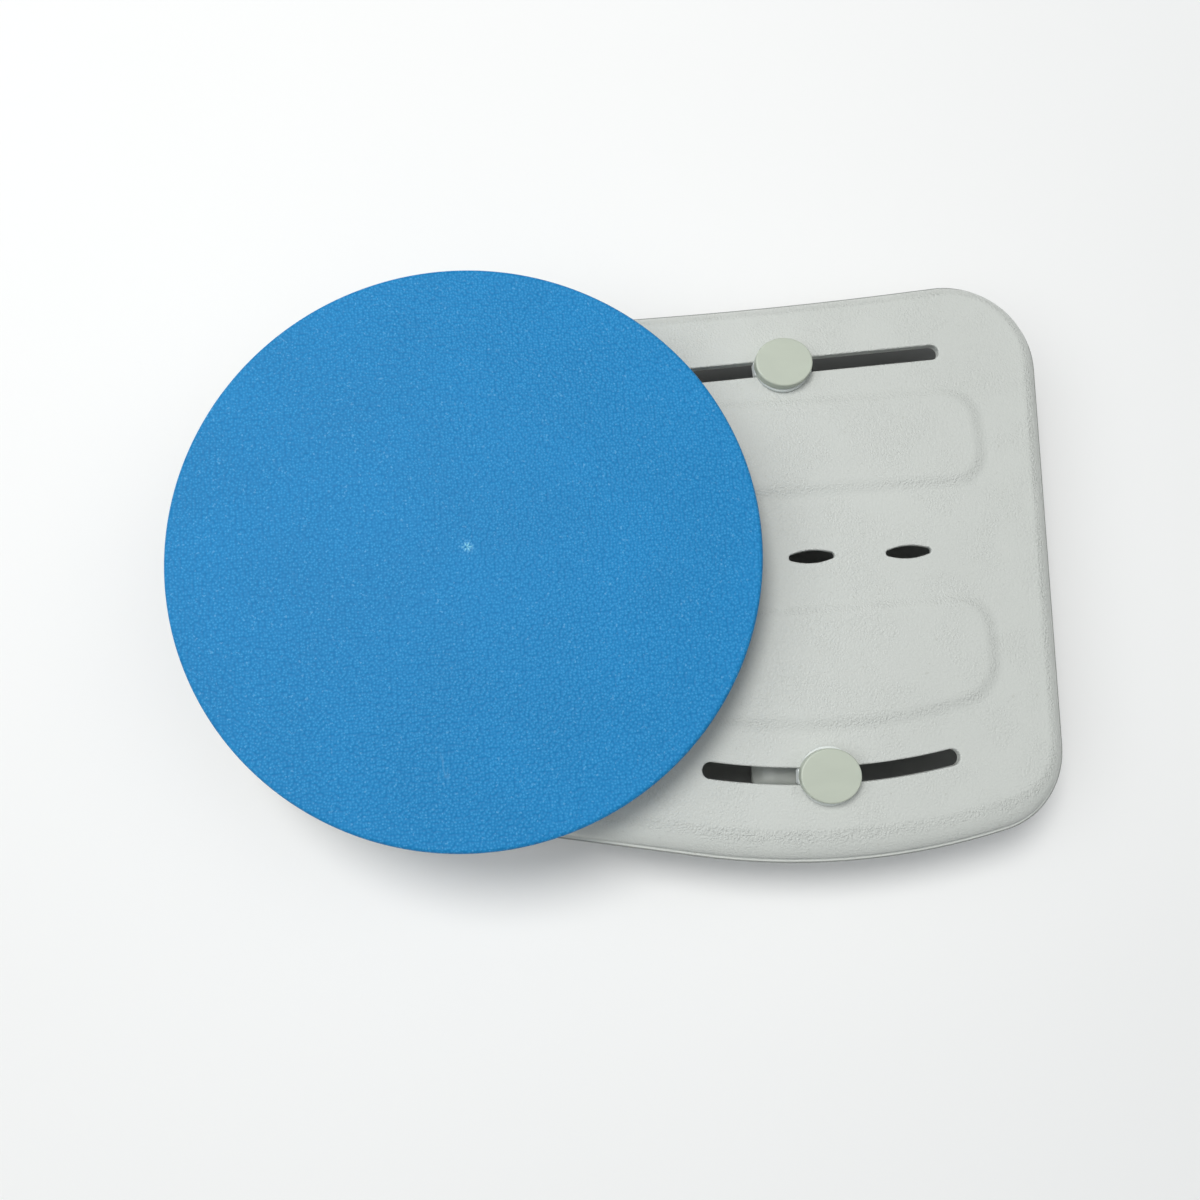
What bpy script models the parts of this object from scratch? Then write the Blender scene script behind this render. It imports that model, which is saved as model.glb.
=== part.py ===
"""Swivel bath seat: a moulded board held in the bath by four sliding clamps, and a round seat that swivels on it.

Lengths are in metres. The working axes are those of the board: X along it, away from the seat, Y towards its
back edge, Z up, with the swivel axis at X = Y = 0 and the soles of the clamp legs at Z = 0. The root empty then
moves everything so that the origin is the centre of the base of the whole seat.
"""

import math

import bmesh
import bpy
from mathutils import Vector

# Clearance left between pieces that touch, slide or are cut to fit each other
GAP = 0.0003

# Round seat
DISC_RADIUS = 0.200
DISC_PLATE = 0.004
DISC_RIM_DEPTH = 0.014
DISC_RIM_WALL = 0.0032
DISC_EDGE_ROUND = 0.003
DISC_RIB_DEPTH = 0.008
DISC_RIB_WALL = 0.0024
DISC_RIB_COUNT = 12
DISC_RING_RADIUS = 0.145
DISC_STEPS = 80

# Turntable under the seat
BASE_RADIUS = 0.092
BASE_HEIGHT = 0.0212
BASE_WALL = 0.0035
BASE_BOSS_WALL = 0.005
BASE_RIB_COUNT = 8
TRACK_RADIUS = 0.080
TRACK_WIDTH = 0.008
TRACK_DEPTH = 0.0015
GLIDE_THICKNESS = 0.0031
HUB_FLANGE_RADIUS = 0.090
HUB_FLANGE = 0.004
HUB_RADIUS = 0.020
BUSH_WALL = 0.0045
BUSH_LIP = 0.006
INSERT_RADIUS = 0.008
INSERT_LENGTH = 0.020
PIVOT_WASHER_RADIUS = 0.029
PIVOT_WASHER = 0.0025
PIVOT_BOLT_RADIUS = 0.005
PIVOT_HEAD_FLATS = 0.017
PIVOT_HEAD_HEIGHT = 0.0064
TURNTABLE_STEPS = 36

# Screws that hold the turntable to the board and the hub to the seat
SCREW_COUNT = 4
SCREW_RADIUS = 0.0016
SCREW_HEAD_RADIUS = 0.0034
SCREW_HEAD_HEIGHT = 0.0022
SCREW_BITE = 0.008
SCREW_BOSS_WALL = 0.0038
BASE_SCREW_CIRCLE = 0.062
HUB_SCREW_CIRCLE = 0.055

# Board: outline corners, each a place and the radius that rounds it
BOARD_LEFT = -0.1776
BOARD_BACK_LEFT_Y = 0.1737
BOARD_BACK_LEFT_RADIUS = 0.063
BOARD_FRONT_LEFT_RADIUS = 0.078
BOARD_FRONT_RIGHT_X = 0.4083
BOARD_FRONT_RIGHT_RADIUS = 0.062
BOARD_BACK_RIGHT = (0.4416, 0.1975)
BOARD_BACK_RIGHT_RADIUS = 0.0655
BOARD_BACK_WAIST = (0.2504, 0.1821)
BOARD_BACK_WAIST_RADIUS = 3.6

# The bulge of the front edge, the front slot and the front of the near pad share one centre
FRONT_CENTRE = (0.2521, 0.2911)
FRONT_EDGE_RADIUS = 0.522
FRONT_SWEEP = math.radians(12.03)

# Board: section
BOARD_HEIGHT = 0.026
BOARD_WALL = 0.003
SHOULDER_DROP = 0.011
SHOULDER_SIDE = 0.013
SHOULDER_FRONT = 0.024
SHOULDER_BACK = 0.010
LEDGE_WIDTH = 0.0032
LEDGE_ROUND = 0.0007
SHOULDER_STEPS = 4

# Board: raised pads on top
PAD_RISE = 0.0022
PAD_SHOULDER = 0.014
PAD_CORNER = 0.022
PAD_LEFT = 0.122
BACK_PAD_RIGHT = 0.378
BACK_PAD_FRONT_Y = 0.034
BACK_PAD_BACK_Y = 0.102
FRONT_PAD_RIGHT = 0.366
FRONT_PAD_NEAR_CORNER = 0.030
FRONT_PAD_BACK_Y = -0.054
FRONT_PAD_RADIUS = 0.427

# Board: holes, collars and ribs
SLOT_WIDTH = 0.0116
COLLAR_WALL = 0.003
COLLAR_DEPTH = 0.0056
RIB_DEPTH = 0.012
RIB_WALL = 0.0024
LANE_MARGIN = 0.001
LENGTHWISE_RIBS = (0.160, 0.066, 0.012, -0.044, -0.100)
CROSSWISE_RIBS = (-0.129, 0.118, 0.205, 0.279, 0.360)
DRAIN_LENGTH = 0.0335
DRAIN_WIDTH = 0.0096
DRAIN_TIP_RADIUS = 0.0024
DRAIN_FLARE = math.radians(15)
DRAIN_CENTRES = ((0.2433, -0.0153), (0.3146, -0.0167))
CENTRE_COLLAR_WALL = 0.012
CENTRE_COLLAR_DEPTH = 0.007

# Clamps
CAP_LENGTH = 0.0426
CAP_WIDTH = 0.0376
CAP_THICKNESS = 0.0068
CAP_ROUND = 0.0013
GUIDE_FLANGE_RADIUS = 0.0198
GUIDE_FLANGE = 0.0025
GUIDE_LENGTH = 0.042
GUIDE_CORNER = 0.0015
CLAMP_BOLT_RADIUS = 0.004
CLAMP_HEAD_FLATS = 0.013
CLAMP_HEAD_HEIGHT = 0.0046
LEG_DROP = 0.050
LEG_WIDTH = 0.048
LEG_PLATE = 0.005
LEG_WALL = 0.005
LEG_REACH_IN = 0.0185
LEG_REACH_OUT = 0.024
LEG_CORNER = 0.009
LEG_WEB = 0.0028
LEG_WEB_DEPTH = 0.036
LEG_WEB_LENGTH = 0.013
GRIP_WIDTH = 0.042
GRIP_HEIGHT = 0.036
GRIP_THICKNESS = 0.004
GRIP_CORNER = 0.006
GRIP_GROOVES = 5
GRIP_GROOVE_WIDTH = 0.0024
GRIP_GROOVE_DEPTH = 0.0012
GRIP_STUD_RADIUS = 0.003
GRIP_STUD_SPACING = 0.022
LEVER_WASHER_RADIUS = 0.010
LEVER_WASHER = 0.0015
LEVER_HUB_RADIUS = 0.0105
LEVER_HUB_HEIGHT = 0.015
LEVER_REACH = 0.0475
LEVER_KNEE = 0.042
LEVER_ELBOW = 0.033
LEVER_WIDTH = 0.017
LEVER_TIP_SHARE = 0.7
LEVER_THICKNESS = 0.006
LEVER_FALL = 0.009
BOLT_SHOW = 0.0015

# How far the straight pieces that stand for an arc may lie off it, and into how many pieces small rounds divide
ARC_SAGITTA = 0.0003
SCREW_STEPS = 10
BOLT_STEPS = 14
BOSS_STEPS = 16
WASHER_STEPS = 20
CAP_STEPS = 28

# Each clamp: where it stands on its slot, the slot's heading or the centre of its arc, how far the slot reaches
# to either side of it, the side of the bath that it presses on, and how far its lever is turned from inwards
CLAMPS = {
    "back_right": {"rest": (0.2369, 0.1299), "heading": math.radians(2.35), "centre": None,
                   "low": -0.0870, "high": 0.1208, "side": 1, "lever": math.radians(90)},
    "front_right": {"rest": (0.2365, -0.1709), "heading": None, "centre": FRONT_CENTRE,
                    "low": -0.0878, "high": 0.0956, "side": 1, "lever": math.radians(-4)},
    "back_left": {"rest": (-0.0225, 0.1193), "heading": math.radians(2.35), "centre": None,
                  "low": -0.0825, "high": 0.0825, "side": -1, "lever": 0.0},
    "front_left": {"rest": (-0.0225, -0.1350), "heading": None, "centre": (-0.0225, 0.3270),
                   "low": -0.0735, "high": 0.0825, "side": -1, "lever": 0.0},
}

# Levels, from the floor up
BOARD_TOP = LEG_DROP + BOARD_HEIGHT
COLLAR_BOTTOM = BOARD_TOP - COLLAR_DEPTH
RIB_BOTTOM = BOARD_TOP - RIB_DEPTH
CENTRE_COLLAR_BOTTOM = BOARD_TOP - CENTRE_COLLAR_DEPTH
BASE_BOTTOM = BOARD_TOP + GAP
BASE_TOP = BASE_BOTTOM + BASE_HEIGHT
GLIDE_BOTTOM = BASE_TOP - TRACK_DEPTH + GAP
FLANGE_BOTTOM = GLIDE_BOTTOM + GLIDE_THICKNESS + GAP
FLANGE_TOP = FLANGE_BOTTOM + HUB_FLANGE
DISC_RIB_BOTTOM = FLANGE_TOP + GAP
DISC_TOP = DISC_RIB_BOTTOM + DISC_RIB_DEPTH + DISC_PLATE
LEG_PLATE_TOP = COLLAR_BOTTOM - GAP
LEG_PLATE_BOTTOM = LEG_PLATE_TOP - LEG_PLATE
LEVER_WASHER_TOP = LEG_PLATE_BOTTOM - GAP
LEVER_TOP = LEVER_WASHER_TOP - LEVER_WASHER - GAP
LEVER_BOTTOM = LEVER_TOP - LEVER_HUB_HEIGHT
RIB_TOP = BOARD_TOP - 0.2 * BOARD_WALL
PAD_HOLLOW_TOP = BOARD_TOP - 0.4 * BOARD_WALL
CAP_BOTTOM = BOARD_TOP + GAP + GUIDE_FLANGE + GAP

# Radii that follow from others
BUSH_BORE_RADIUS = HUB_RADIUS + GAP
BUSH_RADIUS = BUSH_BORE_RADIUS + BUSH_WALL
BASE_BORE_RADIUS = BUSH_RADIUS + GAP
BASE_BOSS_RADIUS = BASE_BORE_RADIUS + BASE_BOSS_WALL
SCREW_HOLE_RADIUS = SCREW_RADIUS + GAP
SCREW_BOSS_RADIUS = SCREW_HOLE_RADIUS + SCREW_BOSS_WALL
CENTRE_HOLE_RADIUS = HUB_RADIUS + 2 * GAP
CENTRE_COLLAR_RADIUS = CENTRE_HOLE_RADIUS + CENTRE_COLLAR_WALL
BOLT_HOLE_RADIUS = CLAMP_BOLT_RADIUS + GAP


def clear_scene():
    """Empties the scene and makes the two collections."""
    for obj in list(bpy.data.objects):
        bpy.data.objects.remove(obj)
    for name in ("swivel_bath_seat", "shaping_tools"):
        bpy.context.scene.collection.children.link(bpy.data.collections.new(name))
    bpy.data.collections["shaping_tools"].hide_render = True


def linear(value):
    """One sRGB channel, 0 to 255, as linear light."""
    share = value / 255
    return share / 12.92 if share <= 0.04045 else ((share + 0.055) / 1.055) ** 2.4


def material(name, rgb, roughness, metallic=0.0):
    """A plain Principled material, made once for each name."""
    found = bpy.data.materials.get(name)
    if found:
        return found
    made = bpy.data.materials.new(name)
    made.use_nodes = True
    shader = made.node_tree.nodes["Principled BSDF"]
    shader.inputs["Base Color"].default_value = (*map(linear, rgb), 1.0)
    shader.inputs["Roughness"].default_value = roughness
    shader.inputs["Metallic"].default_value = metallic
    return made


def blue_plastic():
    return material("blue_plastic", (54, 144, 208), 0.45)


def pale_plastic():
    return material("pale_plastic", (206, 209, 205), 0.4)


def sage_plastic():
    return material("sage_plastic", (192, 199, 184), 0.4)


def white_plastic():
    return material("white_plastic", (222, 226, 222), 0.4)


def low_friction_plastic():
    return material("low_friction_plastic", (235, 235, 230), 0.3)


def grey_rubber():
    return material("grey_rubber", (70, 72, 74), 0.8)


def stainless_steel():
    return material("stainless_steel", (190, 192, 195), 0.3, 1.0)


def brass():
    return material("brass", (200, 165, 90), 0.35, 1.0)


def link(name, mesh, finish, parent):
    """Puts a mesh into the model as a piece with its finish and its parent."""
    obj = bpy.data.objects.new(name, mesh)
    bpy.data.collections["swivel_bath_seat"].objects.link(obj)
    if finish:
        mesh.materials.clear()
        mesh.materials.append(finish)
    obj.parent = parent
    return obj


def tool(mesh, parent):
    """Puts a mesh among the shaping tools, which are not rendered."""
    obj = bpy.data.objects.new("tool", mesh)
    bpy.data.collections["shaping_tools"].objects.link(obj)
    obj.hide_render = True
    obj.display_type = "WIRE"
    obj.parent = parent
    return obj


def empty(name, place, parent, turn=0.0):
    """An empty that carries other objects, turned about Z."""
    obj = bpy.data.objects.new(name, None)
    bpy.data.collections["swivel_bath_seat"].objects.link(obj)
    obj.empty_display_size = 0.02
    obj.location = place
    obj.rotation_euler = (0.0, 0.0, turn)
    obj.parent = parent
    return obj


def apply_boolean(obj, operation, tools):
    """Joins, cuts or keeps the overlap of an object and all the tools, with one modifier."""
    group = bpy.data.collections.new("operands")
    bpy.data.collections["shaping_tools"].children.link(group)
    for operand in tools:
        group.objects.link(operand)
    modifier = obj.modifiers.new(operation.lower(), "BOOLEAN")
    modifier.operation = operation
    modifier.operand_type = "COLLECTION"
    modifier.collection = group
    modifier.solver = "EXACT"


def smooth(mesh, degrees=35.0):
    """Shades a mesh smooth, apart from its sharp edges."""
    mesh.shade_smooth()
    mesh.set_sharp_from_angle(angle=math.radians(degrees))


def finished(bm, name):
    """The mesh of a bmesh, with its faces pointing out."""
    bmesh.ops.recalc_face_normals(bm, faces=bm.faces)
    mesh = bpy.data.meshes.new(name)
    bm.to_mesh(mesh)
    bm.free()
    return mesh


def prism(outline, low, high, name="prism"):
    """A flat outline raised from one level to another."""
    bm = bmesh.new()
    floor = bm.faces.new([bm.verts.new((x, y, low)) for x, y in outline])
    raised = bmesh.ops.extrude_face_region(bm, geom=[floor])["geom"]
    corners = [item for item in raised if isinstance(item, bmesh.types.BMVert)]
    bmesh.ops.translate(bm, verts=corners, vec=(0.0, 0.0, high - low))
    return finished(bm, name)


def cylinder(radius, low, high, steps=24, place=(0.0, 0.0), name="cylinder"):
    """An upright cylinder between two levels."""
    bm = bmesh.new()
    bmesh.ops.create_cone(bm, cap_ends=True, segments=steps, radius1=radius, radius2=radius, depth=high - low)
    bmesh.ops.translate(bm, verts=bm.verts, vec=(place[0], place[1], (low + high) / 2))
    return finished(bm, name)


def block(low, high, name="block"):
    """A box between two corners."""
    bm = bmesh.new()
    bmesh.ops.create_cube(bm, size=1.0)
    bmesh.ops.scale(bm, verts=bm.verts, vec=Vector(high) - Vector(low))
    bmesh.ops.translate(bm, verts=bm.verts, vec=(Vector(low) + Vector(high)) / 2)
    return finished(bm, name)


def loft(rings, name):
    """A skin of flat triangles through rings of equally many points, closed over the first ring and the last."""
    bm = bmesh.new()
    rows = [[bm.verts.new(point) for point in ring] for ring in rings]
    for upper, lower in zip(rows, rows[1:]):
        for i in range(len(upper)):
            j = (i + 1) % len(upper)
            bm.faces.new((upper[i], lower[i], lower[j], upper[j]))
    bmesh.ops.triangulate(bm, faces=bm.faces)
    bm.faces.new(rows[0])
    bm.faces.new(rows[-1][::-1])
    mesh = bpy.data.meshes.new(name)
    bm.to_mesh(mesh)
    bm.free()
    return mesh


def turned(name, profile, closed, steps, finish, parent):
    """A piece turned about Z from points (radius, level) that run down its outer side."""
    mesh = bpy.data.meshes.new(name)
    edges = [(i, i + 1) for i in range(len(profile) - 1)]
    if closed:
        edges.append((len(profile) - 1, 0))
    mesh.from_pydata([(radius, 0.0, level) for radius, level in profile], edges, [])
    obj = link(name, mesh, finish, parent)
    screw = obj.modifiers.new("turn", "SCREW")
    screw.axis = "Z"
    screw.steps = steps
    screw.render_steps = steps
    screw.use_merge_vertices = True
    screw.merge_threshold = 0.00001
    return obj


def baked(obj):
    """The finished mesh of an object and its modifiers, after which the object is gone."""
    bpy.context.view_layer.update()
    graph = bpy.context.evaluated_depsgraph_get()
    mesh = bpy.data.meshes.new_from_object(obj.evaluated_get(graph))
    bpy.data.objects.remove(obj)
    return mesh


def arc_steps(angle, radius):
    """How many straight pieces stand for an arc."""
    return max(2, math.ceil(abs(angle) / (2 * math.acos(1 - ARC_SAGITTA / radius))))


def rounded(corners):
    """The outline through corners (x, y, radius), anticlockwise: a list of (point, outward normal)."""
    outline = []
    for i, (x, y, radius) in enumerate(corners):
        corner = Vector((x, y))
        ahead = (Vector(corners[(i + 1) % len(corners)][:2]) - corner).normalized()
        behind = (corner - Vector(corners[i - 1][:2])).normalized()
        turn = math.atan2(behind.x * ahead.y - behind.y * ahead.x, behind.dot(ahead))
        start = corner - behind * radius * math.tan(abs(turn) / 2)
        normal = Vector((behind.y, -behind.x))
        bend = math.copysign(1.0, turn)
        centre = start - normal * radius * bend
        steps = arc_steps(turn, radius)
        for step in range(steps + 1):
            angle = turn * step / steps
            spoke = Vector((normal.x * math.cos(angle) - normal.y * math.sin(angle),
                            normal.x * math.sin(angle) + normal.y * math.cos(angle)))
            outline.append((centre + spoke * radius * bend, spoke))
    return outline


def grown(outline, distance):
    """The points of a rounded outline moved outwards by a distance."""
    return [point + normal * distance for point, normal in outline]


def board_corners():
    """The corners of the board, anticlockwise from the front left."""
    slope = math.tan(FRONT_SWEEP)
    middle_x, centre_y = FRONT_CENTRE
    peak_y = centre_y - FRONT_EDGE_RADIUS / math.cos(FRONT_SWEEP)
    return [
        (BOARD_LEFT, peak_y + (middle_x - BOARD_LEFT) * slope, BOARD_FRONT_LEFT_RADIUS),
        (middle_x, peak_y, FRONT_EDGE_RADIUS),
        (BOARD_FRONT_RIGHT_X, peak_y + (BOARD_FRONT_RIGHT_X - middle_x) * slope, BOARD_FRONT_RIGHT_RADIUS),
        (*BOARD_BACK_RIGHT, BOARD_BACK_RIGHT_RADIUS),
        (*BOARD_BACK_WAIST, BOARD_BACK_WAIST_RADIUS),
        (BOARD_LEFT, BOARD_BACK_LEFT_Y, BOARD_BACK_LEFT_RADIUS),
    ]


def shoulder_width(normal):
    """The width of the rounded shoulder, which is broad along the front edge and narrow along the back."""
    if normal.y < 0:
        return SHOULDER_SIDE + (SHOULDER_FRONT - SHOULDER_SIDE) * normal.y**2
    return SHOULDER_SIDE + (SHOULDER_BACK - SHOULDER_SIDE) * normal.y**2


def board_rings(outline, inset=0.0, lower=0.0, rim=LEG_DROP):
    """The rings of the board's outer skin, or of one inside it, from the flat top down to the rim."""
    rings = []
    for step in range(SHOULDER_STEPS + 1):
        angle = math.pi / 2 * step / SHOULDER_STEPS
        level = BOARD_TOP - lower - SHOULDER_DROP * (1 - math.cos(angle))
        ring = []
        for point, normal in outline:
            inward = inset + LEDGE_WIDTH + shoulder_width(normal) * (1 - math.sin(angle))
            ring.append((*(point - normal * inward), level))
        rings.append(ring)
    ledge = BOARD_TOP - lower - SHOULDER_DROP
    for inward, level in ((LEDGE_ROUND, ledge), (0.0, ledge - LEDGE_ROUND), (0.0, rim)):
        rings.append([(*point, level) for point in grown(outline, -inset - inward)])
    return rings


def slot_point(clamp, travel):
    """The point (and the normal to its right) that lies a travel along the slot from the clamp's place at rest."""
    rest = Vector(clamp["rest"])
    if clamp["centre"] is None:
        ahead = Vector((math.cos(clamp["heading"]), math.sin(clamp["heading"])))
        return rest + ahead * travel, Vector((ahead.y, -ahead.x))
    centre = Vector(clamp["centre"])
    spoke = rest - centre
    angle = travel / spoke.length
    turned_spoke = Vector((spoke.x * math.cos(angle) - spoke.y * math.sin(angle),
                           spoke.x * math.sin(angle) + spoke.y * math.cos(angle)))
    return centre + turned_spoke, turned_spoke.normalized()


def band(clamp, low, high, half_width, steps=10, end_steps=5):
    """The outline of a round-ended band along a slot, whose ends reach the two travels."""
    first, last = low + half_width, high - half_width
    side_steps = 1 if clamp["centre"] is None else steps
    middle = [slot_point(clamp, first + (last - first) * i / side_steps) for i in range(side_steps + 1)]
    outline = [point + normal * half_width for point, normal in middle]
    for centre, normal, half_turn in ((*middle[-1], 1), (*middle[0], -1)):
        if half_turn < 0:
            outline += [point - side * half_width for point, side in reversed(middle)]
        for step in range(1, end_steps):
            angle = math.pi * step / end_steps
            spoke = normal * half_turn
            outline.append(centre + half_width * Vector((
                spoke.x * math.cos(angle) - spoke.y * math.sin(angle),
                spoke.x * math.sin(angle) + spoke.y * math.cos(angle))))
    return outline


def square_ended_band(clamp, low, high, half_width, corner, steps=3, corner_steps=2):
    """The outline of a band along a slot whose square ends have small round corners."""
    first, last = low + corner, high - corner
    middle = [slot_point(clamp, first + (last - first) * i / steps) for i in range(steps + 1)]
    outline = [point + normal * half_width for point, normal in middle]
    for centre, normal, half_turn in ((*middle[-1], 1), (*middle[0], -1)):
        if half_turn < 0:
            outline += [point - side * half_width for point, side in reversed(middle)]
        for side in (1, -1):
            pivot = centre + normal * half_turn * side * (half_width - corner)
            for step in range(corner_steps + 1):
                angle = math.pi / 2 * (step / corner_steps + (side < 0))
                if 0.0 < angle < math.pi:
                    spoke = normal * half_turn
                    outline.append(pivot + corner * Vector((
                        spoke.x * math.cos(angle) - spoke.y * math.sin(angle),
                        spoke.x * math.sin(angle) + spoke.y * math.cos(angle))))
    return outline


def drain_outline(centre):
    """A lens with blunt tips."""
    tip_x = DRAIN_LENGTH / 2 - DRAIN_TIP_RADIUS + DRAIN_TIP_RADIUS / math.sin(DRAIN_FLARE)
    crown_y = tip_x * math.tan(DRAIN_FLARE)
    crown_radius = (crown_y - DRAIN_WIDTH / 2) / (1 / math.cos(DRAIN_FLARE) - 1)
    x, y = centre
    corners = [
        (x - tip_x, y, DRAIN_TIP_RADIUS),
        (x, y - crown_y, crown_radius),
        (x + tip_x, y, DRAIN_TIP_RADIUS),
        (x, y + crown_y, crown_radius),
    ]
    return grown(rounded(corners), 0.0)


def back_pad_outline():
    """The raised pad between the back slot and the drains."""
    return rounded([
        (PAD_LEFT, BACK_PAD_FRONT_Y, PAD_CORNER),
        (BACK_PAD_RIGHT, BACK_PAD_FRONT_Y, PAD_CORNER),
        (BACK_PAD_RIGHT, BACK_PAD_BACK_Y, PAD_CORNER),
        (PAD_LEFT, BACK_PAD_BACK_Y, PAD_CORNER),
    ])


def front_pad_outline():
    """The raised pad between the drains and the front slot, whose front follows the slot."""
    slope = math.tan(FRONT_SWEEP)
    middle_x, centre_y = FRONT_CENTRE
    peak_y = centre_y - FRONT_PAD_RADIUS / math.cos(FRONT_SWEEP)
    return rounded([
        (PAD_LEFT, peak_y + (middle_x - PAD_LEFT) * slope, PAD_CORNER),
        (middle_x, peak_y, FRONT_PAD_RADIUS),
        (FRONT_PAD_RIGHT, peak_y + (FRONT_PAD_RIGHT - middle_x) * slope, FRONT_PAD_NEAR_CORNER),
        (FRONT_PAD_RIGHT, FRONT_PAD_BACK_Y, PAD_CORNER),
        (PAD_LEFT, FRONT_PAD_BACK_Y, PAD_CORNER),
    ])


def pad_body(outline):
    """A raised pad with a soft S-shaped shoulder, reaching a little into the board's top."""
    sunk = BOARD_WALL / 3
    half = PAD_SHOULDER / 2
    shoulder = ((half + sunk, -sunk), (half * 0.6, PAD_RISE * 0.15), (-half * 0.6, PAD_RISE * 0.85),
                (-half, PAD_RISE))
    rings = [[(*point, BOARD_TOP + rise) for point in grown(outline, distance)]
             for distance, rise in reversed(shoulder)]
    return loft(rings, "pad_body")


def spoke_ribs(count, turn, inner, outer, wall, bottom, top, parent):
    """Ribs that run out from the swivel axis."""
    ribs = []
    for i in range(count):
        rib = tool(block((inner, -wall / 2, bottom), (outer, wall / 2, top)), parent)
        rib.rotation_euler = (0.0, 0.0, turn + 2 * math.pi * i / count)
        ribs.append(rib)
    return ribs


def on_circle(radius, i, count, turn):
    """The place of the i-th of several things spread on a circle round the swivel axis."""
    angle = turn + 2 * math.pi * i / count
    return radius * math.cos(angle), radius * math.sin(angle)


def clamp_lane(clamp):
    """The room that a clamp's plate needs under the slot's collar as it slides."""
    half = LEG_WIDTH / 2 + LANE_MARGIN
    inward, outward = LEG_REACH_IN + LANE_MARGIN, LEG_REACH_OUT + GRIP_THICKNESS + LANE_MARGIN
    before, beyond = (inward, outward) if clamp["side"] > 0 else (outward, inward)
    low = clamp["low"] + GUIDE_LENGTH / 2 - before - half
    high = clamp["high"] - GUIDE_LENGTH / 2 + beyond + half
    return prism(band(clamp, low, high, half), LEG_DROP, COLLAR_BOTTOM)


def board_rib_grid(parent, outline):
    """The grid of ribs under the board's top, trimmed to the board and kept clear of the turntable's place."""
    xs = [point.x for point, _ in outline]
    ys = [point.y for point, _ in outline]
    half = RIB_WALL / 2
    ribs = [tool(block((min(xs), y - half, RIB_BOTTOM), (max(xs), y + half, RIB_TOP)), parent)
            for y in LENGTHWISE_RIBS]
    ribs += [tool(block((x - half, min(ys), RIB_BOTTOM), (x + half, max(ys), RIB_TOP)), parent)
             for x in CROSSWISE_RIBS]
    grid = ribs.pop(0)
    apply_boolean(grid, "UNION", ribs)
    inside = tool(loft(board_rings(outline, BOARD_WALL / 2, BOARD_WALL / 10), "inside"), parent)
    apply_boolean(grid, "INTERSECT", [inside])
    cleared = [cylinder(BASE_RADIUS - RIB_WALL / 2, LEG_DROP, BOARD_TOP, TURNTABLE_STEPS)]
    cleared += [clamp_lane(clamp) for clamp in CLAMPS.values()]
    apply_boolean(grid, "DIFFERENCE", [tool(mesh, parent) for mesh in cleared])
    return grid


def turntable_bay(parent):
    """The ring and the spokes that stiffen the board under the turntable, with the collar round its centre."""
    ring = turned("ring", [
        (BASE_RADIUS, RIB_TOP), (BASE_RADIUS, RIB_BOTTOM),
        (BASE_RADIUS - RIB_WALL, RIB_BOTTOM), (BASE_RADIUS - RIB_WALL, RIB_TOP),
    ], True, TURNTABLE_STEPS, None, parent)
    ring = tool(baked(ring), parent)
    collar = tool(cylinder(CENTRE_COLLAR_RADIUS, CENTRE_COLLAR_BOTTOM, RIB_TOP, TURNTABLE_STEPS), parent)
    spokes = spoke_ribs(BASE_RIB_COUNT, math.pi / BASE_RIB_COUNT, PIVOT_WASHER_RADIUS + RIB_WALL,
                        BASE_RADIUS - RIB_WALL / 2, RIB_WALL, RIB_BOTTOM, RIB_TOP, parent)
    return [ring, collar, *spokes]


def make_board(parent, outline):
    """The moulded board: a shell open underneath, with pads, slots, drains, collars and ribs."""
    shell = link("board_shell", loft(board_rings(outline), "board_shell"), pale_plastic(), parent)
    pads = [tool(pad_body(pad), parent) for pad in (back_pad_outline(), front_pad_outline())]
    apply_boolean(shell, "UNION", pads)
    core = loft(board_rings(outline, BOARD_WALL, BOARD_WALL, LEG_DROP - BOARD_WALL), "core")
    apply_boolean(shell, "DIFFERENCE", [tool(core, parent)])
    hollow_inset = -PAD_SHOULDER / 2 - BOARD_WALL / 2
    hollows = [tool(prism(grown(pad, hollow_inset), COLLAR_BOTTOM, PAD_HOLLOW_TOP), parent)
               for pad in (back_pad_outline(), front_pad_outline())]
    apply_boolean(shell, "DIFFERENCE", hollows)
    collars = [tool(prism(band(clamp, clamp["low"] - COLLAR_WALL, clamp["high"] + COLLAR_WALL,
                               SLOT_WIDTH / 2 + COLLAR_WALL), COLLAR_BOTTOM, RIB_TOP), parent)
               for clamp in CLAMPS.values()]
    apply_boolean(shell, "UNION", [board_rib_grid(parent, outline), *turntable_bay(parent), *collars])
    over, under = BOARD_TOP + PAD_RISE + BOARD_WALL, RIB_BOTTOM - BOARD_WALL
    cuts = [prism(band(clamp, clamp["low"], clamp["high"], SLOT_WIDTH / 2), under, over)
            for clamp in CLAMPS.values()]
    cuts += [prism(drain_outline(centre), under, over) for centre in DRAIN_CENTRES]
    cuts.append(cylinder(CENTRE_HOLE_RADIUS, under, over, TURNTABLE_STEPS))
    cuts += [cylinder(SCREW_HOLE_RADIUS, under, over, SCREW_STEPS,
                      on_circle(BASE_SCREW_CIRCLE, i, SCREW_COUNT, 0.0)) for i in range(SCREW_COUNT)]
    apply_boolean(shell, "DIFFERENCE", [tool(cut, parent) for cut in cuts])
    return shell


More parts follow.
